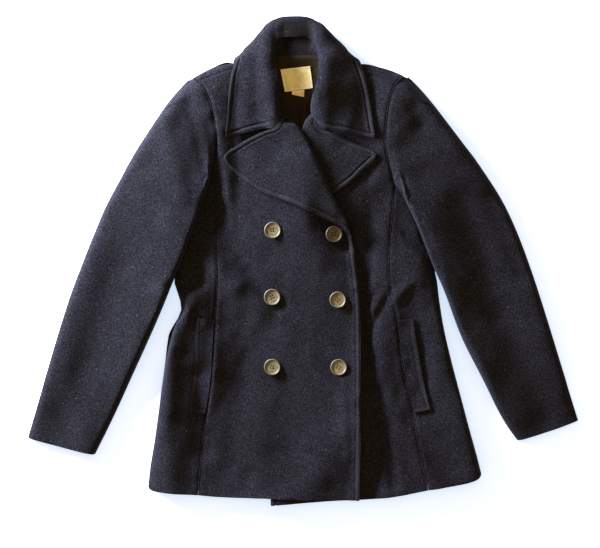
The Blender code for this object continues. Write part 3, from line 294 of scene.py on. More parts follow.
# A button's section from its foot over the rim into the dish: share of its radius and height.
BUTTON_RINGS = (
    (0.88, 0.30), (1.0, 0.58), (0.99, 0.80), (0.955, 0.94), (0.915, 1.0), (0.875, 0.96),
    (0.84, 0.84), (0.81, 0.72), (0.77, 0.665), (0.66, 0.63), (0.30, 0.60),
)
BUTTON_STEP = 8.0                        # how far out a button feels the cloth's lean (mm)
BUTTON_DRAWN_IN = 0.0010                 # how deep its thread draws it into the nap (m)
BUTTON_LEANS = (0.3, 0.3, 0.3, 0.9, 0.3, 0.3)   # share of that lean that its thread passes on
# The small spread of tone is the horn's own; the fourth button's 0.60 is painted shade for the
# shadow it lies in under the lapel.
BUTTON_TONES_AND_SHADE = (1.0, 0.97, 1.02, 0.60, 0.98, 1.0)   # horn is not all of one depth
BUTTON_TURNS = (8, 70, 44, 20, 62, 33)   # how far each is turned on its thread (degrees)
BUTTON_FEELS = 10.0                      # how far out its rim feels for folds under it (mm)
BUTTON_BEDS = 0.0012                     # how deep its rim may press into such a fold (m)
HOLE_PLACE, HOLE_RADIUS = 0.0020, 0.00115   # of a button's four holes (m)
BUTTON_SHIFT = (0.0010, -0.0010)         # how far the buttons are drawn aside by their thread (m)

# Lines of topstitching: name, line, piece they lie on, side of the line (1 is its left).
STITCH_LINES = (
    ("stitches_right_lapel", RIGHT_LAPEL_EDGE, "cloth_right_lapel", 1),
    ("stitches_left_lapel", LEFT_LAPEL_EDGE, "cloth_left_lapel", -1),
    ("stitches_collar_right", COLLAR_EDGE_RIGHT, "cloth_collar", -1),
    ("stitches_collar_left", COLLAR_EDGE_LEFT, "cloth_collar", 1),
    ("stitches_front_edge", TOP_FRONT_EDGE, "cloth_right_front", 1),
    ("stitches_right_welt", RIGHT_WELT_OUTLINE, "cloth_right_welt", 1),
    ("stitches_left_welt", LEFT_WELT_OUTLINE, "cloth_left_welt", -1),
)

BUTTON_THREAD, TOPSTITCH = (0.006, 0.006, 0.008), (0.007, 0.007, 0.009)
PALE_LINT = (0.20, 0.20, 0.21)

# The stage (m).
FLOOR_SIZE = 9.0
FLOOR_GLOW, GLOW_STRENGTH = (0.48, 0.68, 1.0, 1.0), 0.8
WINDOW_PLACE, WINDOW_SIZE = (-1.15, 0.72, 0.345), (0.9, 0.16)
WINDOW_COLOUR = (0.76, 0.85, 1.0)
ROOM_COLOUR, ROOM_STRENGTH = (1.0, 0.78, 0.42, 1.0), 0.69
CAMERA_PLACE = (-0.0049, -0.0212)        # over this place
CLOTH_TOP = 0.012                        # the height of cloth from which its height is taken
SENSOR = 36.0                            # width of the camera's sensor (mm)


# ---------------------------------------------------------------- what a user may change
class CoatCloth(bpy.types.PropertyGroup):
    """The melton wool."""
    navy: FloatVectorProperty(
        name="Navy", description="Colour of the wool's nap", subtype="COLOR", size=3,
        min=0.0, max=1.0, default=(0.0090, 0.0083, 0.0112))
    dusk: FloatVectorProperty(
        name="Dusk", description="Darker wool between the fibres", subtype="COLOR", size=3,
        min=0.0, max=1.0, default=(0.0032, 0.0028, 0.0030))
    worn: FloatVectorProperty(
        name="Worn", description="Rubbed wool along the turned edges", subtype="COLOR", size=3,
        min=0.0, max=1.0, default=(0.020, 0.019, 0.021))
    nap: FloatProperty(
        name="Nap", description="Depth of the fuzzy surface", unit="LENGTH",
        default=0.0007, min=0.0, max=0.003)
    swell: FloatProperty(
        name="Swell", description="Fullness of the soft waves in the laid cloth",
        unit="LENGTH", default=0.0007, min=0.0, max=0.002)
    lint_count: IntProperty(
        name="Lint", description="Number of pale fibres caught on the cloth",
        default=300, min=0, max=2000)


class CoatSewing(bpy.types.PropertyGroup):
    """Topstitching."""
    inset: FloatProperty(
        name="Inset", description="Distance of the stitches from the turned edge",
        unit="LENGTH", default=0.0075, min=0.003, max=0.012)
    stitch: FloatProperty(
        name="Stitch", description="Length from one stitch to the next", unit="LENGTH",
        default=0.004, min=0.002, max=0.008)
    thread: FloatProperty(
        name="Thread", description="Thickness of the thread", unit="LENGTH",
        default=0.0006, min=0.0003, max=0.001)


class CoatButtons(bpy.types.PropertyGroup):
    """The horn buttons."""
    diameter: FloatProperty(
        name="Diameter", description="Across the rim", unit="LENGTH",
        default=0.0262, min=0.015, max=0.035)
    thickness: FloatProperty(
        name="Thickness", description="Height of the rim", unit="LENGTH",
        default=0.0042, min=0.002, max=0.006)
    horn: FloatVectorProperty(
        name="Horn", description="Colour of the dish", subtype="COLOR", size=3,
        min=0.0, max=1.0, default=(0.122, 0.094, 0.052))
    rim: FloatVectorProperty(
        name="Rim", description="Colour of the polished rim", subtype="COLOR", size=3,
        min=0.0, max=1.0, default=(0.085, 0.071, 0.048))


class CoatNeck(bpy.types.PropertyGroup):
    """Lining and labels inside the neck."""
    lining: FloatVectorProperty(
        name="Lining", description="Colour of the lining's twill", subtype="COLOR", size=3,
        min=0.0, max=1.0, default=(0.0225, 0.0140, 0.0070))
    ribbon: FloatVectorProperty(
        name="Ribbon", description="Colour of the woven label", subtype="COLOR", size=3,
        min=0.0, max=1.0, default=(0.86, 0.70, 0.34))


class CoatStage(bpy.types.PropertyGroup):
    """Floor, lights and camera."""
    camera_height: FloatProperty(
        name="Camera height", description="Height of the camera over the coat",
        unit="LENGTH", default=2.2, min=1.0, max=4.0)
    view_width: FloatProperty(
        name="View width", description="Width of floor that the camera sees",
        unit="LENGTH", default=0.955, min=0.5, max=2.0)
    key_power: FloatProperty(
        name="Key light", description="Power of the window light", unit="POWER",
        default=182.0, min=0.0, max=500.0)


# ---------------------------------------------------------------- small helpers
def deselect_all():
    for o in bpy.context.view_layer.objects:
        o.select_set(False)


def make_active(piece):
    deselect_all()
    bpy.context.view_layer.objects.active = piece
    piece.select_set(True)


def add_mesh_piece(name, vertices, faces):
    mesh = bpy.data.meshes.new(name)
    mesh.from_pydata([tuple(v) for v in vertices], [], [tuple(f) for f in faces])
    mesh.update()
    piece = bpy.data.objects.new(name, mesh)
    bpy.context.collection.objects.link(piece)
    return piece


def dress(piece, material, slot, *nodes):
    """Give a piece its material, make it ride and let it stand for its nodes."""
    piece.data.materials.clear()
    piece.data.materials.append(material)
    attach(piece, "root")
    if nodes:
        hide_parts(*nodes)


def points_of(piece):
    mesh = piece.data
    co = np.empty(len(mesh.vertices) * 3)
    mesh.vertices.foreach_get("co", co)
    normals = np.empty(len(mesh.vertices) * 3)
    mesh.vertex_normals.foreach_get("vector", normals)
    return co.reshape(-1, 3), normals.reshape(-1, 3)


def set_points(piece, co):
    piece.data.vertices.foreach_set("co", co.ravel())
    piece.data.update()


def on_drawing(co):
    """Where points of the frame lie on the cutting drawing, in millimetres."""
    return co[:, :2] / MM - DRAWING_ZERO


def from_drawing(points):
    return (np.asarray(points, dtype=float) + DRAWING_ZERO) * MM


def smooth_line(points, per_span=8):
    """Dense points of a smooth curve through the drawing's points."""
    pts = np.array(points, dtype=float)
    ends = np.vstack([2 * pts[0] - pts[1], pts, 2 * pts[-1] - pts[-2]])
    dense = []
    for a, b, c, d in zip(ends, ends[1:], ends[2:], ends[3:]):
        t0 = 0.0
        t1 = t0 + math.sqrt(np.linalg.norm(b - a)) + 1e-9
        t2 = t1 + math.sqrt(np.linalg.norm(c - b)) + 1e-9
        t3 = t2 + math.sqrt(np.linalg.norm(d - c)) + 1e-9
        for i in range(per_span):
            t = t1 + (t2 - t1) * i / per_span
            a1 = (t1 - t) / (t1 - t0) * a + (t - t0) / (t1 - t0) * b
            a2 = (t2 - t) / (t2 - t1) * b + (t - t1) / (t2 - t1) * c
            a3 = (t3 - t) / (t3 - t2) * c + (t - t2) / (t3 - t2) * d
            b1 = (t2 - t) / (t2 - t0) * a1 + (t - t0) / (t2 - t0) * a2
            b2 = (t3 - t) / (t3 - t1) * a2 + (t - t1) / (t3 - t1) * a3
            dense.append((t2 - t) / (t2 - t1) * b1 + (t - t1) / (t2 - t1) * b2)
    dense.append(pts[-1])
    return np.array(dense)


def away_from(points, line):
    """How far points of the drawing lie from a line."""
    best = np.full(len(points), 1e9)
    for a, b in zip(line[:-1], line[1:]):
        way = b - a
        t = np.clip((points - a) @ way / (way @ way + 1e-12), 0.0, 1.0)
        away = np.linalg.norm(points - a - t[:, None] * way, axis=1)
        best = np.minimum(best, away)
    return best


def ease(t):
    t = np.clip(t, 0.0, 1.0)
    return t * t * (3.0 - 2.0 * t)


def section_height(section, away):
    """Height of a section at a distance, smoothly between its points."""
    table = np.array(section)
    fine = np.linspace(table[0, 0], table[-1, 0], 200)
    heights = np.interp(fine, table[:, 0], table[:, 1])
    kernel = np.array((1.0, 2.0, 3.0, 2.0, 1.0)) / 9.0
    padded = np.pad(heights, 2, mode="edge")
    return np.interp(away, fine, np.convolve(padded, kernel, mode="valid"))


def fold_height(points, folds=FOLDS):
    """Summed height of soft folds at points of the drawing."""
    total = np.zeros(len(points))
    for x0, y0, x1, y1, half_width, rise in folds:
        line = np.array(((x0, y0), (x1, y1)), dtype=float)
        near = np.all((points > line.min(axis=0) - 2.4 * half_width)
                      & (points < line.max(axis=0) + 2.4 * half_width), axis=1)
        away = away_from(points[near], line) / half_width
        total[near] += rise * np.exp(-away ** 2)
    return total


def fold_cloth(co, own=()):
    """Move points of the frame up and down with the folds, less the nearer the ground."""
    loose = ease((co[:, 2] / MM - FOLDS_FROM) / FOLDS_FADE)
    plan = on_drawing(co)
    rise = fold_height(plan) + fold_height(plan, CREASES) + fold_height(plan, own)
    co[:, 2] += rise * loose * MM


def waves(points, length, seed, count=9):
    """Irregular soft waves about a given length, from -1 to 1."""
    dice = np.random.default_rng(seed)
    total = np.zeros(len(points))
    for _ in range(count):
        angle, phase = dice.uniform(0, 2 * math.pi, 2)
        size = length * dice.uniform(0.7, 1.5)
        way = np.array((math.cos(angle), math.sin(angle))) * 2 * math.pi / size
        total += np.sin(points @ way + phase)
    return total / count


# ---------------------------------------------------------------- making cloth
def smooth_copy(node, name, levels):
    """A copy of a node's cloth, merged, squared up again and subdivided smooth."""
    mesh = frame["nodes"][node].data.copy()
    mesh.name = name
    piece = bpy.data.objects.new(name, mesh)
    bpy.context.collection.objects.link(piece)
    make_active(piece)
    if mesh.has_custom_normals:
        bpy.ops.mesh.customdata_custom_splitnormals_clear()
    bm = bmesh.new()
    bm.from_mesh(mesh)
    bmesh.ops.remove_doubles(bm, verts=bm.verts, dist=MERGE)
    crease = bm.edges.layers.float.get("crease_edge") or bm.edges.layers.float.new("crease_edge")
    for edge in bm.edges:
        rim = len(edge.link_faces) == 2 and edge.calc_face_angle() > RIM_ANGLE
        edge.smooth = not rim
        edge[crease] = 1.0 if rim else 0.0
    bmesh.ops.join_triangles(
        bm, faces=bm.faces, cmp_sharp=True, angle_face_threshold=math.pi,
        angle_shape_threshold=math.pi, topology_influence=2.0)
    for edge in bm.edges:
        edge.smooth = True
    bm.to_mesh(mesh)
    bm.free()
    finer = piece.modifiers.new("finer", "SUBSURF")
    finer.levels = finer.render_levels = levels
    finer.boundary_smooth = "PRESERVE_CORNERS"
    bpy.ops.object.modifier_apply(modifier=finer.name)
    return piece


def refine_near(piece, lines, reach):
    """Halve the faces that lie within reach of the lines, where finer form is needed."""
    mesh = piece.data
    centres = np.empty(len(mesh.polygons) * 3)
    mesh.polygons.foreach_get("center", centres)
    away = away_from_all(on_drawing(centres.reshape(-1, 3)), lines)
    chosen = away < reach
    bm = bmesh.new()
    bm.from_mesh(mesh)
    bm.faces.ensure_lookup_table()
    edges = {e for i in np.flatnonzero(chosen) for e in bm.faces[int(i)].edges}
    bmesh.ops.subdivide_edges(bm, edges=list(edges), cuts=1, use_grid_fill=True)
    bm.to_mesh(mesh)
    bm.free()


def away_from_all(points, lines):
    best = np.full(len(points), 1e9)
    for line in lines:
        box = line.min(axis=0) - 40, line.max(axis=0) + 40
        near = np.all((points > box[0]) & (points < box[1]), axis=1)
        if near.any():
            best[near] = np.minimum(best[near], away_from(points[near], line))
    return best


def model_cloth(piece, swell, turned=(), seams=(), shoulder=(), folded=True, own=(), full=1.0,
                seed=1):
    """Press the sewing, folds and soft waves into a piece of cloth."""
    turned = [smooth_line(line) for line in turned]
    seams = [smooth_line(line) for line in seams]
    shoulder = [smooth_line(line) for line in shoulder]
    if turned:
        refine_near(piece, turned, TURNED_EDGE_REACH - 2.0)
    if folded:
        co, _ = points_of(piece)
        fold_cloth(co, own)
        set_points(piece, co)
    co, normals = points_of(piece)
    plan = on_drawing(co)
    facing_up = ease((normals[:, 2] - 0.05) / 0.4)
    rise = swell / MM * sum(
        share * waves(plan, length, seed + step) for length, share, step in SOFT_WAVES)
    rub = np.zeros(len(co))
    if turned:
        away = away_from_all(plan, turned)
        edge = section_height(TURNED_EDGE, np.minimum(away, TURNED_EDGE_REACH))
        for x, y, *_ in NOTCHES:
            edge *= ease((np.linalg.norm(plan - (x, y), axis=1) - 3.0) / NOTCH_FLAT)
        rise += full * edge * (1.0 + 0.25 * waves(plan, 9.0, seed + 7))
        rub = ease((7.2 - away) / 2.0)
    if seams:
        away = away_from_all(plan, seams)
        rise += section_height(PRESSED_SEAM, np.minimum(away, PRESSED_SEAM_REACH))
        pucker = np.exp(-((away - 6.0) / 5.0) ** 2)
        rise += 0.35 * pucker * waves(plan, 13.0, seed + 23)
    if shoulder:
        away = away_from_all(plan, shoulder)
        rise += section_height(SHOULDER_SECTION, np.minimum(away, SHOULDER_REACH))
    co += normals * (rise * facing_up * MM)[:, None]
    set_points(piece, co)
    store(piece, "rub", rub)
    shade(piece)


def shade(piece, angle=SHADE_ANGLE):
    """Shade a piece smooth, with its sharp edges hard."""
    piece.data.shade_smooth()
    make_active(piece)
    bpy.ops.object.shade_smooth_by_angle(angle=angle)


def store(piece, name, values):
    layer = piece.data.attributes.new(name, "FLOAT", "POINT")
    layer.data.foreach_set("value", values.astype(np.float32))


def sew(plan, context, **sewing):
    """Make one piece of wool from its row of the plan."""
    node, name, levels, rests_on, flat, area = plan
    piece = smooth_copy(node, name, levels)
    model_cloth(piece, context.scene.coat_cloth.swell, **sewing)
    dress(piece, wool(context), "melton_wool", node)
    return piece


def nip_waist(piece):
    """Draw the side edges in and out a little where the body leaves the sleeves."""
    co, _ = points_of(piece)
    x, y = on_drawing(co).T
    right = ease((x + 216.0) / 6.0) * ease((-166.0 - x) / 26.0)
    left = ease((220.0 - x) / 5.0) * ease((x - 186.0) / 22.0)
    for side, inwards, nips in ((right, 1.0, RIGHT_NIPS), (left, -1.0, LEFT_NIPS)):
        for height, half, depth in nips:
            co[:, 0] += inwards * side * depth * np.exp(-((y - height) / half) ** 2) * MM
    set_points(piece, co)


def settle(plan, of_collar):
    """Where points of the collar or a lapel lie on the drawing once the notches settle."""
    shift = np.zeros(plan.shape)
    for x, y, half_width, aside, down in NOTCHES:
        near = np.exp(-((plan - (x, y)) ** 2).sum(axis=1) / half_width ** 2)
        shift += near[:, None] * (aside, down)
    if of_collar:
        shift[:, 1] -= COLLAR_COMES_DOWN * ease(
            (COLLAR_DOWN_FROM - plan[:, 1]) / COLLAR_DOWN_FADE)
    return plan + shift


def settle_piece(piece):
    co, _ = points_of(piece)
    co[:, :2] = from_drawing(settle(on_drawing(co), piece.name == "cloth_collar"))
    set_points(piece, co)


def sag_in_neck(co):
    """Let points inside the neck down, as far as the back sags there."""
    middle, half_width, low, high, depth = NECK_SAG
    beside, at_low, at_high = NECK_SAG_FADES
    x, y = on_drawing(co).T
    sag = ease((half_width - np.abs(x - middle)) / beside)
    sag *= ease((high - y) / at_high) * ease((y - low) / at_low)
    sag *= ease((co[:, 2] / MM - 1.0) / 7.0)
    co[:, 2] -= depth * sag * MM


def sink_neck(piece, depth, tuck, painted_shade_share):
    """Lower the inside of the back of the neck, tuck the upper edge under, and store the painted
    shade that darkens it.
    """
    middle, half_width, low, high = NECK_HOLLOW
    co, _ = points_of(piece)
    plan = on_drawing(co)
    beside, at_ends = NECK_HOLLOW_FADES
    inside = ease((half_width - np.abs(plan[:, 0] - middle)) / beside)
    inside *= ease((high - plan[:, 1]) / at_ends) * ease((plan[:, 1] - low) / at_ends)
    inside *= ease((co[:, 2] / MM - 6.0) / 3.0)
    upper = inside * ease((plan[:, 1] - TUCK_FROM) / TUCK_FADE)
    co[:, 2] -= (depth * inside + TUCK_DROP * tuck * upper) * MM
    co[:, 1] += tuck * upper * MM
    set_points(piece, co)
    # Painted shade: how far the wool's colour is darkened and warmed inside the neck's hollow.
    store(piece, "inner", painted_shade_share * inside)


# ---------------------------------------------------------------- materials
def new_material(name):
    """A material, its Principled shader, and a function that adds nodes to it."""
    material = bpy.data.materials.new(name)
    material.use_nodes = True
    tree = material.node_tree
    shader = tree.nodes["Principled BSDF"]

    def add(kind, settings=(), **sockets):
        node = tree.nodes.new(kind)
        for key, value in dict(settings).items():
            setattr(node, key, value)
        for key, value in sockets.items():
            socket = node.inputs[int(key[1:])] if key[0] == "i" and key[1:].isdigit() else (
                node.inputs[key.replace("_", " ")])
            if isinstance(value, bpy.types.NodeSocket):
                tree.links.new(value, socket)
            else:
                socket.default_value = value
        return node

    return material, shader, add


def finish(material, shader, colour, bump=None, **values):
    """Join a material's colour and bump to its shader, and set the shader's other values."""
    links = material.node_tree.links
    links.new(colour, shader.inputs["Base Color"])
    if bump:
        links.new(bump.outputs[0], shader.inputs["Normal"])
    for name, value in values.items():
        shader.inputs[name.replace("_", " ")].default_value = value
    return material


def attribute(add, name):
    """The value that a piece's points carry under a name."""
    return add("ShaderNodeAttribute", {"attribute_name": name}).outputs["Fac"]


def ramp(add, source, stops):
    """A colour ramp over a value: stops are (position, colour)."""
    node = add("ShaderNodeValToRGB", Fac=source)
    points = node.color_ramp.elements
    while len(points) < len(stops):
        points.new(0.5)
    for point, (place, colour) in zip(points, stops):
        point.position = place
        point.color = (*colour, 1.0)
    return node.outputs["Color"]


def mix_colours(add, share, a, b, blend="MIX"):
    node = add("ShaderNodeMix", {"data_type": "RGBA", "blend_type": blend})
    for index, value in ((0, share), (6, a), (7, b)):
        if isinstance(value, bpy.types.NodeSocket):
            node.id_data.links.new(value, node.inputs[index])
        elif index == 0:
            node.inputs[index].default_value = value
        else:
            node.inputs[index].default_value = (*value, 1.0)
    return node.outputs[2]


def maths(add, operation, a, b=0.0, clamp=False):
    node = add("ShaderNodeMath", {"operation": operation, "use_clamp": clamp}, i0=a, i1=b)
    return node.outputs[0]


def wool_material(cloth):
    """Milled navy wool: matted fibres, a fuzzy nap, lint, rubbed turned edges, and painted shade
    inside the neck.
    """
    material, shader, add = new_material("navy_melton")
    place = add("ShaderNodeTexCoord").outputs["Object"]
    slant = add("ShaderNodeMapping", Vector=place, Rotation=(0.0, 0.0, math.radians(52)),
                Scale=(1.0, 0.30, 1.0)).outputs[0]
    cross = add("ShaderNodeMapping", Vector=place, Rotation=(0.0, 0.0, math.radians(-31)),
                Scale=(1.0, 0.34, 1.0)).outputs[0]
    cloud = add("ShaderNodeTexNoise", Vector=place, Scale=38.0, Detail=3.0).outputs["Fac"]
    mottle = add("ShaderNodeTexNoise", Vector=place, Scale=460.0, Detail=3.0,
                 Roughness=0.7).outputs["Fac"]
    fibres = add("ShaderNodeTexNoise", Vector=slant, Scale=950.0, Detail=2.0,
                 Roughness=0.6, Distortion=0.6).outputs["Fac"]
    crossing = add("ShaderNodeTexNoise", Vector=cross, Scale=780.0, Detail=2.0,
                   Roughness=0.6, Distortion=0.8).outputs["Fac"]
    matted = maths(add, "MULTIPLY", maths(add, "ADD", fibres, crossing), 0.5)
    grain = maths(add, "ADD", maths(add, "MULTIPLY", mottle, 0.62),
                  maths(add, "MULTIPLY", matted, 0.38))
    wool = ramp(add, grain, (
        (0.41, tuple(cloth.dusk)), (0.50, tuple(cloth.navy)),
        (0.61, tuple(2.5 * c for c in cloth.navy))))
    tint = ramp(add, cloud, ((0.3, (0.86, 0.83, 0.80)), (0.7, (1.10, 1.12, 1.18))))
    wool = mix_colours(add, 1.0, wool, tint, "MULTIPLY")
    rub = attribute(add, "rub")
    rubbed = maths(add, "MULTIPLY", rub, maths(add, "MULTIPLY", mottle, 0.75), clamp=True)
    wool = mix_colours(add, rubbed, wool, tuple(cloth.worn))
    speck = add("ShaderNodeTexVoronoi", Vector=place, Scale=110.0)
    dot = maths(add, "LESS_THAN", speck.outputs["Distance"], 0.050)
    some = maths(add, "GREATER_THAN", add("ShaderNodeSeparateColor", Color=speck.outputs["Color"]
                                          ).outputs[0], 0.78)
    wool = mix_colours(add, maths(add, "MULTIPLY", dot, some), wool, (0.14, 0.14, 0.145))
    # Painted shade: the wool in the neck's hollow is multiplied towards a dark brown.
    inner = attribute(add, "inner")
    wool = mix_colours(add, inner, wool, (0.42, 0.34, 0.16), "MULTIPLY")
    height = maths(add, "ADD", maths(add, "MULTIPLY", mottle, 0.6),
                   maths(add, "MULTIPLY", matted, 0.5))
    bump = add("ShaderNodeBump", Strength=0.7, Distance=cloth.nap, Height=height)
    return finish(material, shader, wool, bump, Roughness=0.96, Specular_IOR_Level=0.05,
                  Sheen_Weight=0.03, Sheen_Roughness=0.45, Sheen_Tint=(0.62, 0.70, 1.0, 1.0))


def lining_material(neck):
    """Dark brown twill with a low satin sheen."""
    material, shader, add = new_material("brown_twill_lining")
    place = add("ShaderNodeTexCoord").outputs["Object"]
    turned = add("ShaderNodeMapping", Vector=place,
                 Rotation=(0.0, 0.0, math.radians(45))).outputs[0]
    twill = add("ShaderNodeTexWave", {"wave_profile": "SIN"}, Vector=turned, Scale=320.0,
                Distortion=0.6, Detail=1.0).outputs["Fac"]
    cloud = add("ShaderNodeTexNoise", Vector=place, Scale=60.0, Detail=2.0).outputs["Fac"]
    dark = tuple(0.45 * c for c in neck.lining)
    colour = ramp(add, twill, ((0.2, dark), (0.8, tuple(neck.lining))))
    colour = mix_colours(add, 1.0, colour, ramp(add, cloud, (
        (0.3, (0.8, 0.75, 0.7)), (0.7, (1.15, 1.1, 1.1)))), "MULTIPLY")
    piping = attribute(add, "piping")
    colour = mix_colours(add, maths(add, "MULTIPLY", piping, 0.4), colour, (0.070, 0.020, 0.009))
    bump = add("ShaderNodeBump", Strength=0.35, Distance=0.0002, Height=twill)
    return finish(material, shader, colour, bump, Roughness=0.55, Specular_IOR_Level=0.07)


def ribbon_material(neck):
    """Woven satin ribbon: fine ribs each way, and a yellowed cream that varies a little."""
    material, shader, add = new_material("cream_ribbon")
    place = add("ShaderNodeTexCoord").outputs["Object"]
    ribs = []
    for angle, scale in ((8, 620.0), (98, 460.0)):
        turned = add("ShaderNodeMapping", Vector=place,
                     Rotation=(0.0, 0.0, math.radians(angle))).outputs[0]
        ribs.append(add("ShaderNodeTexWave", Vector=turned, Scale=scale, Distortion=0.4,
                        Detail=1.0).outputs["Fac"])
    weave = maths(add, "MULTIPLY", maths(add, "ADD", ribs[0], ribs[1]), 0.5)
    cloud = add("ShaderNodeTexNoise", Vector=place, Scale=75.0, Detail=4.0,
                Roughness=0.6).outputs["Fac"]
    ribbon = tuple(neck.ribbon)
    colour = ramp(add, cloud, (
        (0.30, tuple(0.72 * c for c in ribbon)), (0.55, ribbon),
        (0.75, (ribbon[0] * 1.04, ribbon[1] * 1.06, ribbon[2] * 1.30))))
    colour = mix_colours(add, 1.0, colour, ramp(add, weave, (
        (0.2, (0.86, 0.84, 0.80)), (0.8, (1.04, 1.04, 1.04)))), "MULTIPLY")
    border = attribute(add, "border")
    colour = mix_colours(add, maths(add, "MULTIPLY", border, 0.6), colour, (0.95, 0.82, 0.50))
    bump = add("ShaderNodeBump", Strength=0.4, Distance=0.00015, Height=weave)
    return finish(material, shader, colour, bump, Roughness=0.55)


def horn_material(buttons):
    """Mottled horn: cloudy tan with darker streaks, a darker polished rim, and painted shade on
    the button that lies in shadow.
    """
    material, shader, add = new_material("mottled_horn")
    place = add("ShaderNodeTexCoord").outputs["Object"]
    cloud = add("ShaderNodeTexNoise", Vector=place, Scale=170.0, Detail=4.0, Roughness=0.6,
                Distortion=1.2).outputs["Fac"]
    streak_place = add("ShaderNodeMapping", Vector=place, Rotation=(0.0, 0.0, 0.6),
                       Scale=(1.0, 0.25, 1.0)).outputs[0]
    streak = add("ShaderNodeTexNoise", Vector=streak_place, Scale=420.0, Detail=3.0,
                 Distortion=0.7).outputs["Fac"]
    horn = tuple(buttons.horn)
    dish = ramp(add, cloud, (
        (0.30, tuple(0.40 * c for c in horn)), (0.48, horn),
        (0.68, (horn[0] * 1.5, horn[1] * 1.45, horn[2] * 1.5))))
    rim = attribute(add, "rim")
    colour = mix_colours(add, rim, dish, tuple(buttons.rim))
    colour = mix_colours(add, 1.0, colour, ramp(add, streak, (
        (0.35, (0.80, 0.78, 0.74)), (0.6, (1.04, 1.04, 1.03)))), "MULTIPLY")
    # The horn's own small spread of tone, and painted shade darkening the fourth button.
    tone = attribute(add, "tone")
    colour = mix_colours(add, 1.0, colour, ramp(add, tone, (
        (0.5, (0.42, 0.44, 0.40)), (1.0, (1.0, 1.0, 1.0)))), "MULTIPLY")
    bump = add("ShaderNodeBump", Strength=0.2, Distance=0.0002, Height=streak)
    return finish(material, shader, colour, bump, Roughness=0.5, Specular_IOR_Level=0.3,
                  Coat_Weight=0.05, Coat_Roughness=0.3)


def thread_material(name, colour):
    """Twisted sewing thread."""
    material, shader, add = new_material(name)
    place = add("ShaderNodeTexCoord").outputs["Object"]
    twist = add("ShaderNodeTexWave", Vector=place, Scale=1500.0, Distortion=2.0).outputs["Fac"]
    mixed = ramp(add, twist, ((0.2, tuple(0.55 * c for c in colour)), (0.8, colour)))
    return finish(material, shader, mixed, Roughness=0.7, Specular_IOR_Level=0.12)


def floor_material():
    """A plain pale matt floor."""
    material, shader, add = new_material("pale_floor")
    place = add("ShaderNodeTexCoord").outputs["Object"]
    cloud = add("ShaderNodeTexNoise", Vector=place, Scale=3.0, Detail=2.0).outputs["Fac"]
    colour = ramp(add, cloud, ((0.3, (0.86, 0.86, 0.87)), (0.7, (0.90, 0.90, 0.90))))
    return finish(material, shader, colour, Emission_Color=FLOOR_GLOW,
                  Emission_Strength=GLOW_STRENGTH, Roughness=0.9, Specular_IOR_Level=0.1)


def named_material(name, make, *values):
    return bpy.data.materials.get(name) or make(*values)


def wool(context):
    return named_material("navy_melton", wool_material, context.scene.coat_cloth)


# ---------------------------------------------------------------- operators
class COAT_OT_stage(bpy.types.Operator):
    """Add the pale floor, the window light with its fill, and the camera"""
    bl_idname = "coat.stage"
    bl_label = "Stage"

    def execute(self, context):
        stage = context.scene.coat_stage
        deselect_all()
        bpy.ops.mesh.primitive_plane_add(size=FLOOR_SIZE, location=(0.0, 0.0, 0.0))
        floor = context.active_object
        floor.name = "floor"
        floor.data.materials.append(floor_material())
        aim = -Vector(WINDOW_PLACE)
        bpy.ops.object.light_add(type="AREA", location=WINDOW_PLACE,
                                 rotation=aim.to_track_quat("-Z", "Y").to_euler())
        window = context.active_object
        window.name = "window_light"
        window.data.shape = "RECTANGLE"
        window.data.size, window.data.size_y = WINDOW_SIZE
        window.data.energy = stage.key_power
        window.data.color = WINDOW_COLOUR
        world = bpy.data.worlds.new("studio")
        world.use_nodes = True
        background = world.node_tree.nodes["Background"]
        background.inputs["Color"].default_value = ROOM_COLOUR
        background.inputs["Strength"].default_value = ROOM_STRENGTH
        context.scene.world = world
        context.scene.view_settings.view_transform = "Standard"
        bpy.ops.object.camera_add(
            location=(*CAMERA_PLACE, stage.camera_height + CLOTH_TOP), rotation=(0.0, 0.0, 0.0))
        camera = context.active_object
        camera.name = "camera"
        camera.data.sensor_width = SENSOR
        camera.data.lens = stage.camera_height * SENSOR / stage.view_width
        context.scene.camera = camera
        return {"FINISHED"}


class COAT_OT_back(bpy.types.Operator):
    """Lay the back panel"""
    bl_idname = "coat.back"
    bl_label = "Back"

    def execute(self, context):
        back = sew(BACK, context, folded=False, seed=3)
        nip_waist(back)
        co, _ = points_of(back)
        sag_in_neck(co)
        set_points(back, co)
        return {"FINISHED"}


class COAT_OT_fronts(bpy.types.Operator):
    """Lay the two fronts with their princess, armhole and shoulder seams and turned edges"""
    bl_idname = "coat.fronts"
    bl_label = "Fronts"

    def execute(self, context):
        under, top = FRONTS
        sew(under, context, turned=(UNDER_FRONT_EDGE,),
            seams=(LEFT_PRINCESS, LEFT_ARMHOLE), shoulder=(LEFT_SHOULDER_SEAM,),
            own=UNDER_FRONT_FOLDS, seed=5)
        sew(top, context, turned=(TOP_FRONT_EDGE,),
            seams=(RIGHT_PRINCESS, RIGHT_ARMHOLE), shoulder=(RIGHT_SHOULDER_SEAM,),
            own=TOP_FRONT_FOLDS, full=0.55, seed=6)
        return {"FINISHED"}


class COAT_OT_sides(bpy.types.Operator):
    """Lay the side panels beyond the princess seams"""
    bl_idname = "coat.sides"
    bl_label = "Side panels"

    def execute(self, context):
        for number, plan in enumerate(SIDES):
            nip_waist(sew(plan, context,
                          seams=(RIGHT_PRINCESS, RIGHT_ARMHOLE, LEFT_PRINCESS, LEFT_ARMHOLE),
                          seed=11 + number))
        return {"FINISHED"}


class COAT_OT_sleeves(bpy.types.Operator):
    """Lay the sleeves: the halves underneath, then the halves that show"""
    bl_idname = "coat.sleeves"
    bl_label = "Sleeves"

    def execute(self, context):
        for number, plan in enumerate(SLEEVE_UNDERS):
            sew(plan, context, folded=False, seed=21 + number)
        for number, plan in enumerate(SLEEVE_TOPS):
            sew(plan, context, seams=(RIGHT_ARMHOLE, LEFT_ARMHOLE),
                seed=31 + number)
        return {"FINISHED"}


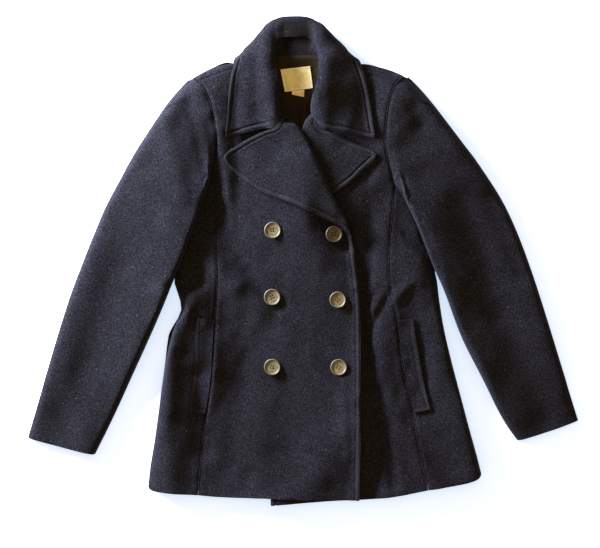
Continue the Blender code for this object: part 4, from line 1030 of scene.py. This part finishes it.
class COAT_OT_collar(bpy.types.Operator):
    """Turn the collar over its stand"""
    bl_idname = "coat.collar"
    bl_label = "Collar"

    def execute(self, context):
        stand = sew(STAND, context, folded=False, seed=41)
        sink_neck(stand, STAND_SINKS, STAND_TUCK, STAND_PAINTED_SHADE)
        collar = sew(COLLAR, context,
                     turned=(COLLAR_EDGE_RIGHT, COLLAR_EDGE_LEFT), own=COLLAR_FOLDS, seed=42)
        sink_neck(collar, COLLAR_SINKS, 0.0, COLLAR_PAINTED_SHADE)
        settle_piece(collar)
        return {"FINISHED"}


class COAT_OT_lapels(bpy.types.Operator):
    """Turn the lapels back, with their topstitched edges"""
    bl_idname = "coat.lapels"
    bl_label = "Lapels"

    def execute(self, context):
        left, right = LAPELS
        settle_piece(sew(left, context, turned=(LEFT_LAPEL_EDGE,), seed=51))
        settle_piece(sew(right, context, turned=(RIGHT_LAPEL_EDGE,),
                         own=RIGHT_LAPEL_FOLDS, seed=52))
        return {"FINISHED"}


class COAT_OT_welts(bpy.types.Operator):
    """Set the pocket welts"""
    bl_idname = "coat.welts"
    bl_label = "Pocket welts"

    def execute(self, context):
        right, left = WELTS
        sew(right, context, turned=(RIGHT_WELT_OUTLINE,), full=0.2, seed=61)
        sew(left, context, turned=(LEFT_WELT_OUTLINE,), full=0.2, seed=62)
        return {"FINISHED"}


class COAT_OT_neck(bpy.types.Operator):
    """Line the neck and sew in the bare label and size tab"""
    bl_idname = "coat.neck"
    bl_label = "Lining and labels"

    def execute(self, context):
        neck = context.scene.coat_neck
        node, name, levels, rests_on, flat, area = LINING
        lining = smooth_copy(node, name, levels)
        co, normals = points_of(lining)
        plan = on_drawing(co)
        up = ease((normals[:, 2] - 0.2) / 0.4)
        middle, height, lean, half_width, full = LINING_PLEAT
        aside = plan[:, 0] - middle - lean * (plan[:, 1] - height)
        pleat = np.exp(-(aside / half_width) ** 2)
        rise = 0.35 * waves(plan, 34.0, 71) + 0.15 * waves(plan, 12.0, 72)
        rise += full * pleat * ease((262.0 - plan[:, 1]) / 12.0)
        co[:, 2] += rise * up * MM
        sag_in_neck(co)
        co[:, 1] += LINING_REACH * ease((plan[:, 1] - 292.0) / 24.0) * MM
        set_points(lining, co)
        store(lining, "piping", pleat * ease((266.0 - plan[:, 1]) / 4.0))
        lining.data.shade_smooth()
        dress(lining, lining_material(neck), "lining", node)
        ribbon = ribbon_material(neck)
        for number, (node, name, flat) in enumerate((LABEL, TAB)):
            piece = smooth_copy(node, name, 5)
            co, normals = points_of(piece)
            plan = on_drawing(co)
            rise = 0.25 * waves(plan, 26.0, 75 + number) + 0.08 * waves(plan, 7.0, 79)
            co[:, 2] += (rise + LABEL_LIFT - LABEL_TIP * (plan[:, 0] + 36.0)) * MM
            sag_in_neck(co)
            set_points(piece, co)
            border = away_from(plan, np.array(LABEL_OUTLINE))
            store(piece, "border", ease((3.0 - border) / 1.0))
            shade(piece)
            dress(piece, ribbon, "label_ribbon", node)
        return {"FINISHED"}


class COAT_OT_buttons(bpy.types.Operator):
    """Turn one horn button and sew its copies on the double-breasted front"""
    bl_idname = "coat.buttons"
    bl_label = "Buttons"

    def execute(self, context):
        buttons = context.scene.coat_buttons
        horn = horn_material(buttons)
        thread = thread_material("navy_thread", BUTTON_THREAD)
        model = turn_button(buttons)
        shank = button_thread(buttons)
        each = zip(BUTTON_TURNS, BUTTON_LEANS, BUTTON_TONES_AND_SHADE)
        for number, (turn, lean, tone) in enumerate(each, start=1):
            place = button_place(f"button_{number}", lean)
            place @= Matrix.Rotation(math.radians(turn), 4, "Z")
            piece = bpy.data.objects.new(f"horn_button_{number}", model.data.copy())
            context.collection.objects.link(piece)
            piece.data.transform(place)
            # Each button's own tone, and painted shade on the fourth.
            store(piece, "tone", np.full(len(piece.data.vertices), tone))
            dress(piece, horn, "button_horn", f"button_{number}")
            sewn = bpy.data.objects.new(f"button_thread_{number}", shank.data.copy())
            context.collection.objects.link(sewn)
            sewn.data.transform(place)
            dress(sewn, thread, "melton_wool")
        for spare in (model, shank):
            bpy.data.objects.remove(spare, do_unlink=True)
        return {"FINISHED"}


def select_faces(piece, wanted):
    """Enter edit mode with just the wanted faces selected, by their middle and normal."""
    make_active(piece)
    bpy.ops.object.mode_set(mode="EDIT")
    bpy.ops.mesh.select_mode(type="FACE")
    bpy.ops.mesh.select_all(action="DESELECT")
    bpy.ops.object.mode_set(mode="OBJECT")
    for face in piece.data.polygons:
        face.select = wanted(face.center, face.normal)
    bpy.ops.object.mode_set(mode="EDIT")


def button_place(node, share):
    """Place and tilt of a button: the middle of its underside, with its axis upwards."""
    co = np.array([v.co[:] for v in frame["nodes"][node].data.vertices])
    middle = co.mean(axis=0)
    axis = np.linalg.svd(co - middle)[2][2]
    axis *= math.copysign(1.0, axis[2])
    lowest = ((co - middle) @ axis).min()
    low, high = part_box(node)
    centre = Vector(((low[0] + high[0]) / 2, (low[1] + high[1]) / 2, 0.0))
    foot = middle + axis * lowest
    place = np.array(((centre.x + BUTTON_SHIFT[0], centre.y + BUTTON_SHIFT[1], foot[2]),) * 3)
    place[1, 0] += BUTTON_STEP * MM
    place[2, 1] += BUTTON_STEP * MM
    fold_cloth(place)
    lean = share * (place[1:, 2] - place[0, 2]) / (BUTTON_STEP * MM)
    turns = np.linspace(0.0, 2 * math.pi, 16, endpoint=False)
    reach = BUTTON_FEELS * MM * np.stack([np.cos(turns), np.sin(turns)], axis=1)
    rim = np.column_stack([np.array((centre.x, centre.y)) + reach, np.full(16, foot[2])])
    fold_cloth(rim)
    lift = max(0.0, float((rim[:, 2] - place[0, 2] - reach @ lean).max()) - BUTTON_BEDS)
    place[0, 2] += lift - BUTTON_DRAWN_IN
    up = Vector((axis[0] - lean[0], axis[1] - lean[1], axis[2])).normalized()
    return Matrix.Translation(Vector(place[0])) @ up.to_track_quat("Z", "Y").to_matrix().to_4x4()


def turn_button(buttons):
    """A four-hole button: a disc drawn up into a round rim and down into a shallow dish."""
    radius, height = buttons.diameter / 2, buttons.thickness
    reach, level = BUTTON_RINGS[0]
    deselect_all()
    bpy.ops.mesh.primitive_cylinder_add(
        vertices=56, radius=radius * reach, depth=height * level,
        location=(0.0, 0.0, height * level / 2))
    model = bpy.context.active_object
    model.name = "button_model"
    bpy.ops.object.transform_apply(location=True, rotation=True, scale=True)
    select_faces(model, lambda middle, normal: normal.z > 0.9)
    for share, up in BUTTON_RINGS[1:]:
        bpy.ops.mesh.extrude_region_move(
            TRANSFORM_OT_translate={"value": (0.0, 0.0, height * (up - level))})
        bpy.ops.transform.resize(value=(share / reach, share / reach, 1.0),
                                 center_override=(0.0, 0.0, height * up))
        reach, level = share, up
    bpy.ops.object.mode_set(mode="OBJECT")
    for sx, sy in ((1, 1), (-1, 1), (-1, -1), (1, -1)):
        deselect_all()
        bpy.ops.mesh.primitive_cylinder_add(
            vertices=14, radius=HOLE_RADIUS, depth=0.02,
            location=(sx * HOLE_PLACE, sy * HOLE_PLACE, 0.0))
        drill = bpy.context.active_object
        make_active(model)
        hole = model.modifiers.new("hole", "BOOLEAN")
        hole.operation = "DIFFERENCE"
        hole.object = drill
        bpy.ops.object.modifier_apply(modifier=hole.name)
        bpy.data.objects.remove(drill, do_unlink=True)
    soft = model.modifiers.new("soft", "BEVEL")
    soft.width = 0.00022
    soft.segments = 2
    soft.limit_method = "ANGLE"
    soft.angle_limit = math.radians(48)
    bpy.ops.object.modifier_apply(modifier=soft.name)
    bpy.ops.object.shade_smooth_by_angle(angle=math.radians(40))
    co, _ = points_of(model)
    out = np.linalg.norm(co[:, :2], axis=1) / radius
    store(model, "rim", ease((out - 0.80) / 0.06))
    return model


def button_thread(buttons):
    """The thread between the holes and down to the cloth."""
    bars = []
    for y in (-HOLE_PLACE, HOLE_PLACE):
        deselect_all()
        bpy.ops.mesh.primitive_cylinder_add(
            vertices=10, radius=0.0005, depth=2 * HOLE_PLACE + HOLE_RADIUS,
            rotation=(0.0, math.radians(90), 0.0), location=(0.0, y, buttons.thickness * 0.40))
        bars.append(bpy.context.active_object)
    deselect_all()
    bpy.ops.mesh.primitive_cylinder_add(vertices=14, radius=0.0022, depth=0.0022,
                                        location=(0.0, 0.0, -0.0004))
    bars.append(bpy.context.active_object)
    for bar in bars:
        bar.select_set(True)
    bpy.context.view_layer.objects.active = bars[-1]
    bpy.ops.object.join()
    joined = bpy.context.active_object
    joined.name = "thread_model"
    bpy.ops.object.transform_apply(location=True, rotation=True, scale=True)
    bpy.ops.object.shade_smooth_by_angle(angle=math.radians(40))
    return joined


def surface_of(*names):
    """A search tree over the finished pieces, for setting things down on them."""
    vertices, faces = [], []
    for name in names:
        mesh = bpy.data.objects[name].data
        start = len(vertices)
        vertices += [v.co[:] for v in mesh.vertices]
        faces += [[start + i for i in p.vertices] for p in mesh.polygons]
    return BVHTree.FromPolygons(vertices, faces)


def set_down(tree, x, y):
    """Where a thing let fall at (x, y) comes to rest, and the way the cloth faces there."""
    return tree.ray_cast(Vector((x, y, 0.2)), Vector((0.0, 0.0, -1.0)))[:2]


def stitch_points(line, side, inset, length):
    """Middles and directions of the stitches along a line, on the drawing."""
    dense = smooth_line(line, 24)
    ways = np.gradient(dense, axis=0)
    ways /= np.linalg.norm(ways, axis=1, keepdims=True) + 1e-12
    moved = dense + side * inset * np.stack([-ways[:, 1], ways[:, 0]], axis=1)
    moved = moved[away_from(moved, dense) > inset - 0.06]
    run = np.concatenate([[0.0], np.cumsum(np.linalg.norm(np.diff(moved, axis=0), axis=1))])
    at = np.arange(length, run[-1] - length / 2, length)
    middles = np.stack([np.interp(at, run, moved[:, k]) for k in (0, 1)], axis=1)
    ahead = np.stack([np.interp(at + 0.4, run, moved[:, k]) for k in (0, 1)], axis=1)
    return middles, ahead - middles


class COAT_OT_stitching(bpy.types.Operator):
    """Run the topstitching along the turned edges"""
    bl_idname = "coat.stitching"
    bl_label = "Topstitching"

    def execute(self, context):
        sewing = context.scene.coat_sewing
        thread = thread_material("topstitch_thread", TOPSTITCH)
        deselect_all()
        bpy.ops.mesh.primitive_uv_sphere_add(segments=6, ring_count=4, radius=0.5)
        pattern = context.active_object
        bead = np.array([v.co[:] for v in pattern.data.vertices])
        bead *= (sewing.stitch * 0.68, sewing.thread, sewing.thread)
        quads = [tuple(p.vertices) for p in pattern.data.polygons]
        bpy.data.objects.remove(pattern, do_unlink=True)
        for name, line, on, side in STITCH_LINES:
            tree = surface_of(on)
            vertices, faces = [], []
            middles, ways = stitch_points(line, side, sewing.inset / MM, sewing.stitch / MM)
            if "collar" in on or "lapel" in on:
                middles = settle(middles, on == "cloth_collar")
            for middle, way in zip(from_drawing(middles), ways):
                hit, normal = set_down(tree, *middle)
                if hit is None:
                    continue
                ahead = Vector((way[0], way[1], 0.0))
                ahead = (ahead - normal * ahead.dot(normal)).normalized()
                turn = Matrix((ahead, normal.cross(ahead), normal)).transposed()
                start = len(vertices)
                centre = hit + normal * sewing.thread * 0.25
                vertices += [turn @ Vector(p) + centre for p in bead]
                faces += [tuple(start + i for i in quad) for quad in quads]
            if not vertices:
                raise RuntimeError(f"no stitch of {name} lies on {on}")
            row = add_mesh_piece(name, vertices, faces)
            row.data.shade_smooth()
            dress(row, thread, "melton_wool")
        return {"FINISHED"}


class COAT_OT_lint(bpy.types.Operator):
    """Scatter the pale fibres that wool picks up"""
    bl_idname = "coat.lint"
    bl_label = "Lint"

    def execute(self, context):
        lint = thread_material("pale_lint", PALE_LINT)
        wool_pieces = [o.name for o in context.scene.objects if o.name.startswith("cloth_")]
        tree = surface_of(*wool_pieces)
        dice = np.random.default_rng(2024)
        low, high = CAD_BOX
        vertices, faces = [], []
        made, steps = 0, 5
        while made < context.scene.coat_cloth.lint_count:
            x = dice.uniform(low[0], high[0])
            y = dice.uniform(low[1], high[1])
            length, thick = dice.uniform(0.0009, 0.0032), dice.uniform(0.00012, 0.00024)
            heading, curl = dice.uniform(0, 2 * math.pi), dice.uniform(-1.2, 1.2)
            hit, normal = set_down(tree, x, y)
            if hit is None or normal.z < 0.3:
                continue
            made += 1
            start = len(vertices)
            spot = Vector(hit) + normal * thick * 0.6
            for step in range(steps):
                angle = heading + curl * step / steps
                ahead = Vector((math.cos(angle), math.sin(angle), 0.0))
                aside = Vector((-ahead.y, ahead.x, 0.0))
                wide = thick * (0.4 if step in (0, steps - 1) else 1.0)
                for k in range(3):
                    turn = 2 * math.pi * k / 3
                    vertices.append(spot + aside * math.cos(turn) * wide / 2
                                    + Vector((0, 0, math.sin(turn) * wide / 2)))
                spot = spot + ahead * length / (steps - 1)
            for step in range(steps - 1):
                a = start + 3 * step
                for k in range(3):
                    m = (k + 1) % 3
                    faces.append((a + k, a + m, a + 3 + m, a + 3 + k))
            faces.append((start + 2, start + 1, start))
            end = start + 3 * (steps - 1)
            faces.append((end, end + 1, end + 2))
        piece = add_mesh_piece("lint_fibres", vertices, faces)
        bm = bmesh.new()
        bm.from_mesh(piece.data)
        bmesh.ops.recalc_face_normals(bm, faces=bm.faces)
        bm.to_mesh(piece.data)
        bm.free()
        dress(piece, lint, "melton_wool")
        return {"FINISHED"}


PIECE_OPERATORS = (
    COAT_OT_back, COAT_OT_fronts, COAT_OT_sides, COAT_OT_sleeves, COAT_OT_collar,
    COAT_OT_lapels, COAT_OT_welts, COAT_OT_neck, COAT_OT_buttons, COAT_OT_stitching,
    COAT_OT_lint,
)
GROUPS = (
    ("coat_cloth", CoatCloth), ("coat_sewing", CoatSewing), ("coat_buttons", CoatButtons),
    ("coat_neck", CoatNeck), ("coat_stage", CoatStage),
)


class COAT_PT_panel(bpy.types.Panel):
    """Sizes, colours and steps of the pea coat"""
    bl_idname = "COAT_PT_panel"
    bl_label = "Pea Coat"
    bl_space_type = "VIEW_3D"
    bl_region_type = "UI"
    bl_category = "Pea Coat"

    def draw(self, context):
        layout = self.layout
        for name, group in GROUPS:
            box = layout.box()
            box.label(text=group.__doc__)
            for value in group.__annotations__:
                box.prop(getattr(context.scene, name), value)
        for operator in (COAT_OT_stage,) + PIECE_OPERATORS:
            layout.operator(operator.bl_idname)


CLASSES = (*(group for _, group in GROUPS), COAT_OT_stage, *PIECE_OPERATORS, COAT_PT_panel)


def register():
    for item in CLASSES:
        bpy.utils.register_class(item)
    for name, group in GROUPS:
        setattr(bpy.types.Scene, name, PointerProperty(type=group))


def unregister():
    for name, _ in GROUPS:
        delattr(bpy.types.Scene, name)
    for item in reversed(CLASSES):
        bpy.utils.unregister_class(item)


def main():
    """Make the whole coat."""
    register()
    bpy.ops.coat.stage()
    bpy.ops.coat.back()
    bpy.ops.coat.fronts()
    bpy.ops.coat.sides()
    bpy.ops.coat.sleeves()
    bpy.ops.coat.collar()
    bpy.ops.coat.lapels()
    bpy.ops.coat.welts()
    bpy.ops.coat.neck()
    bpy.ops.coat.buttons()
    bpy.ops.coat.stitching()
    bpy.ops.coat.lint()


if __name__ == "__main__":
    main()
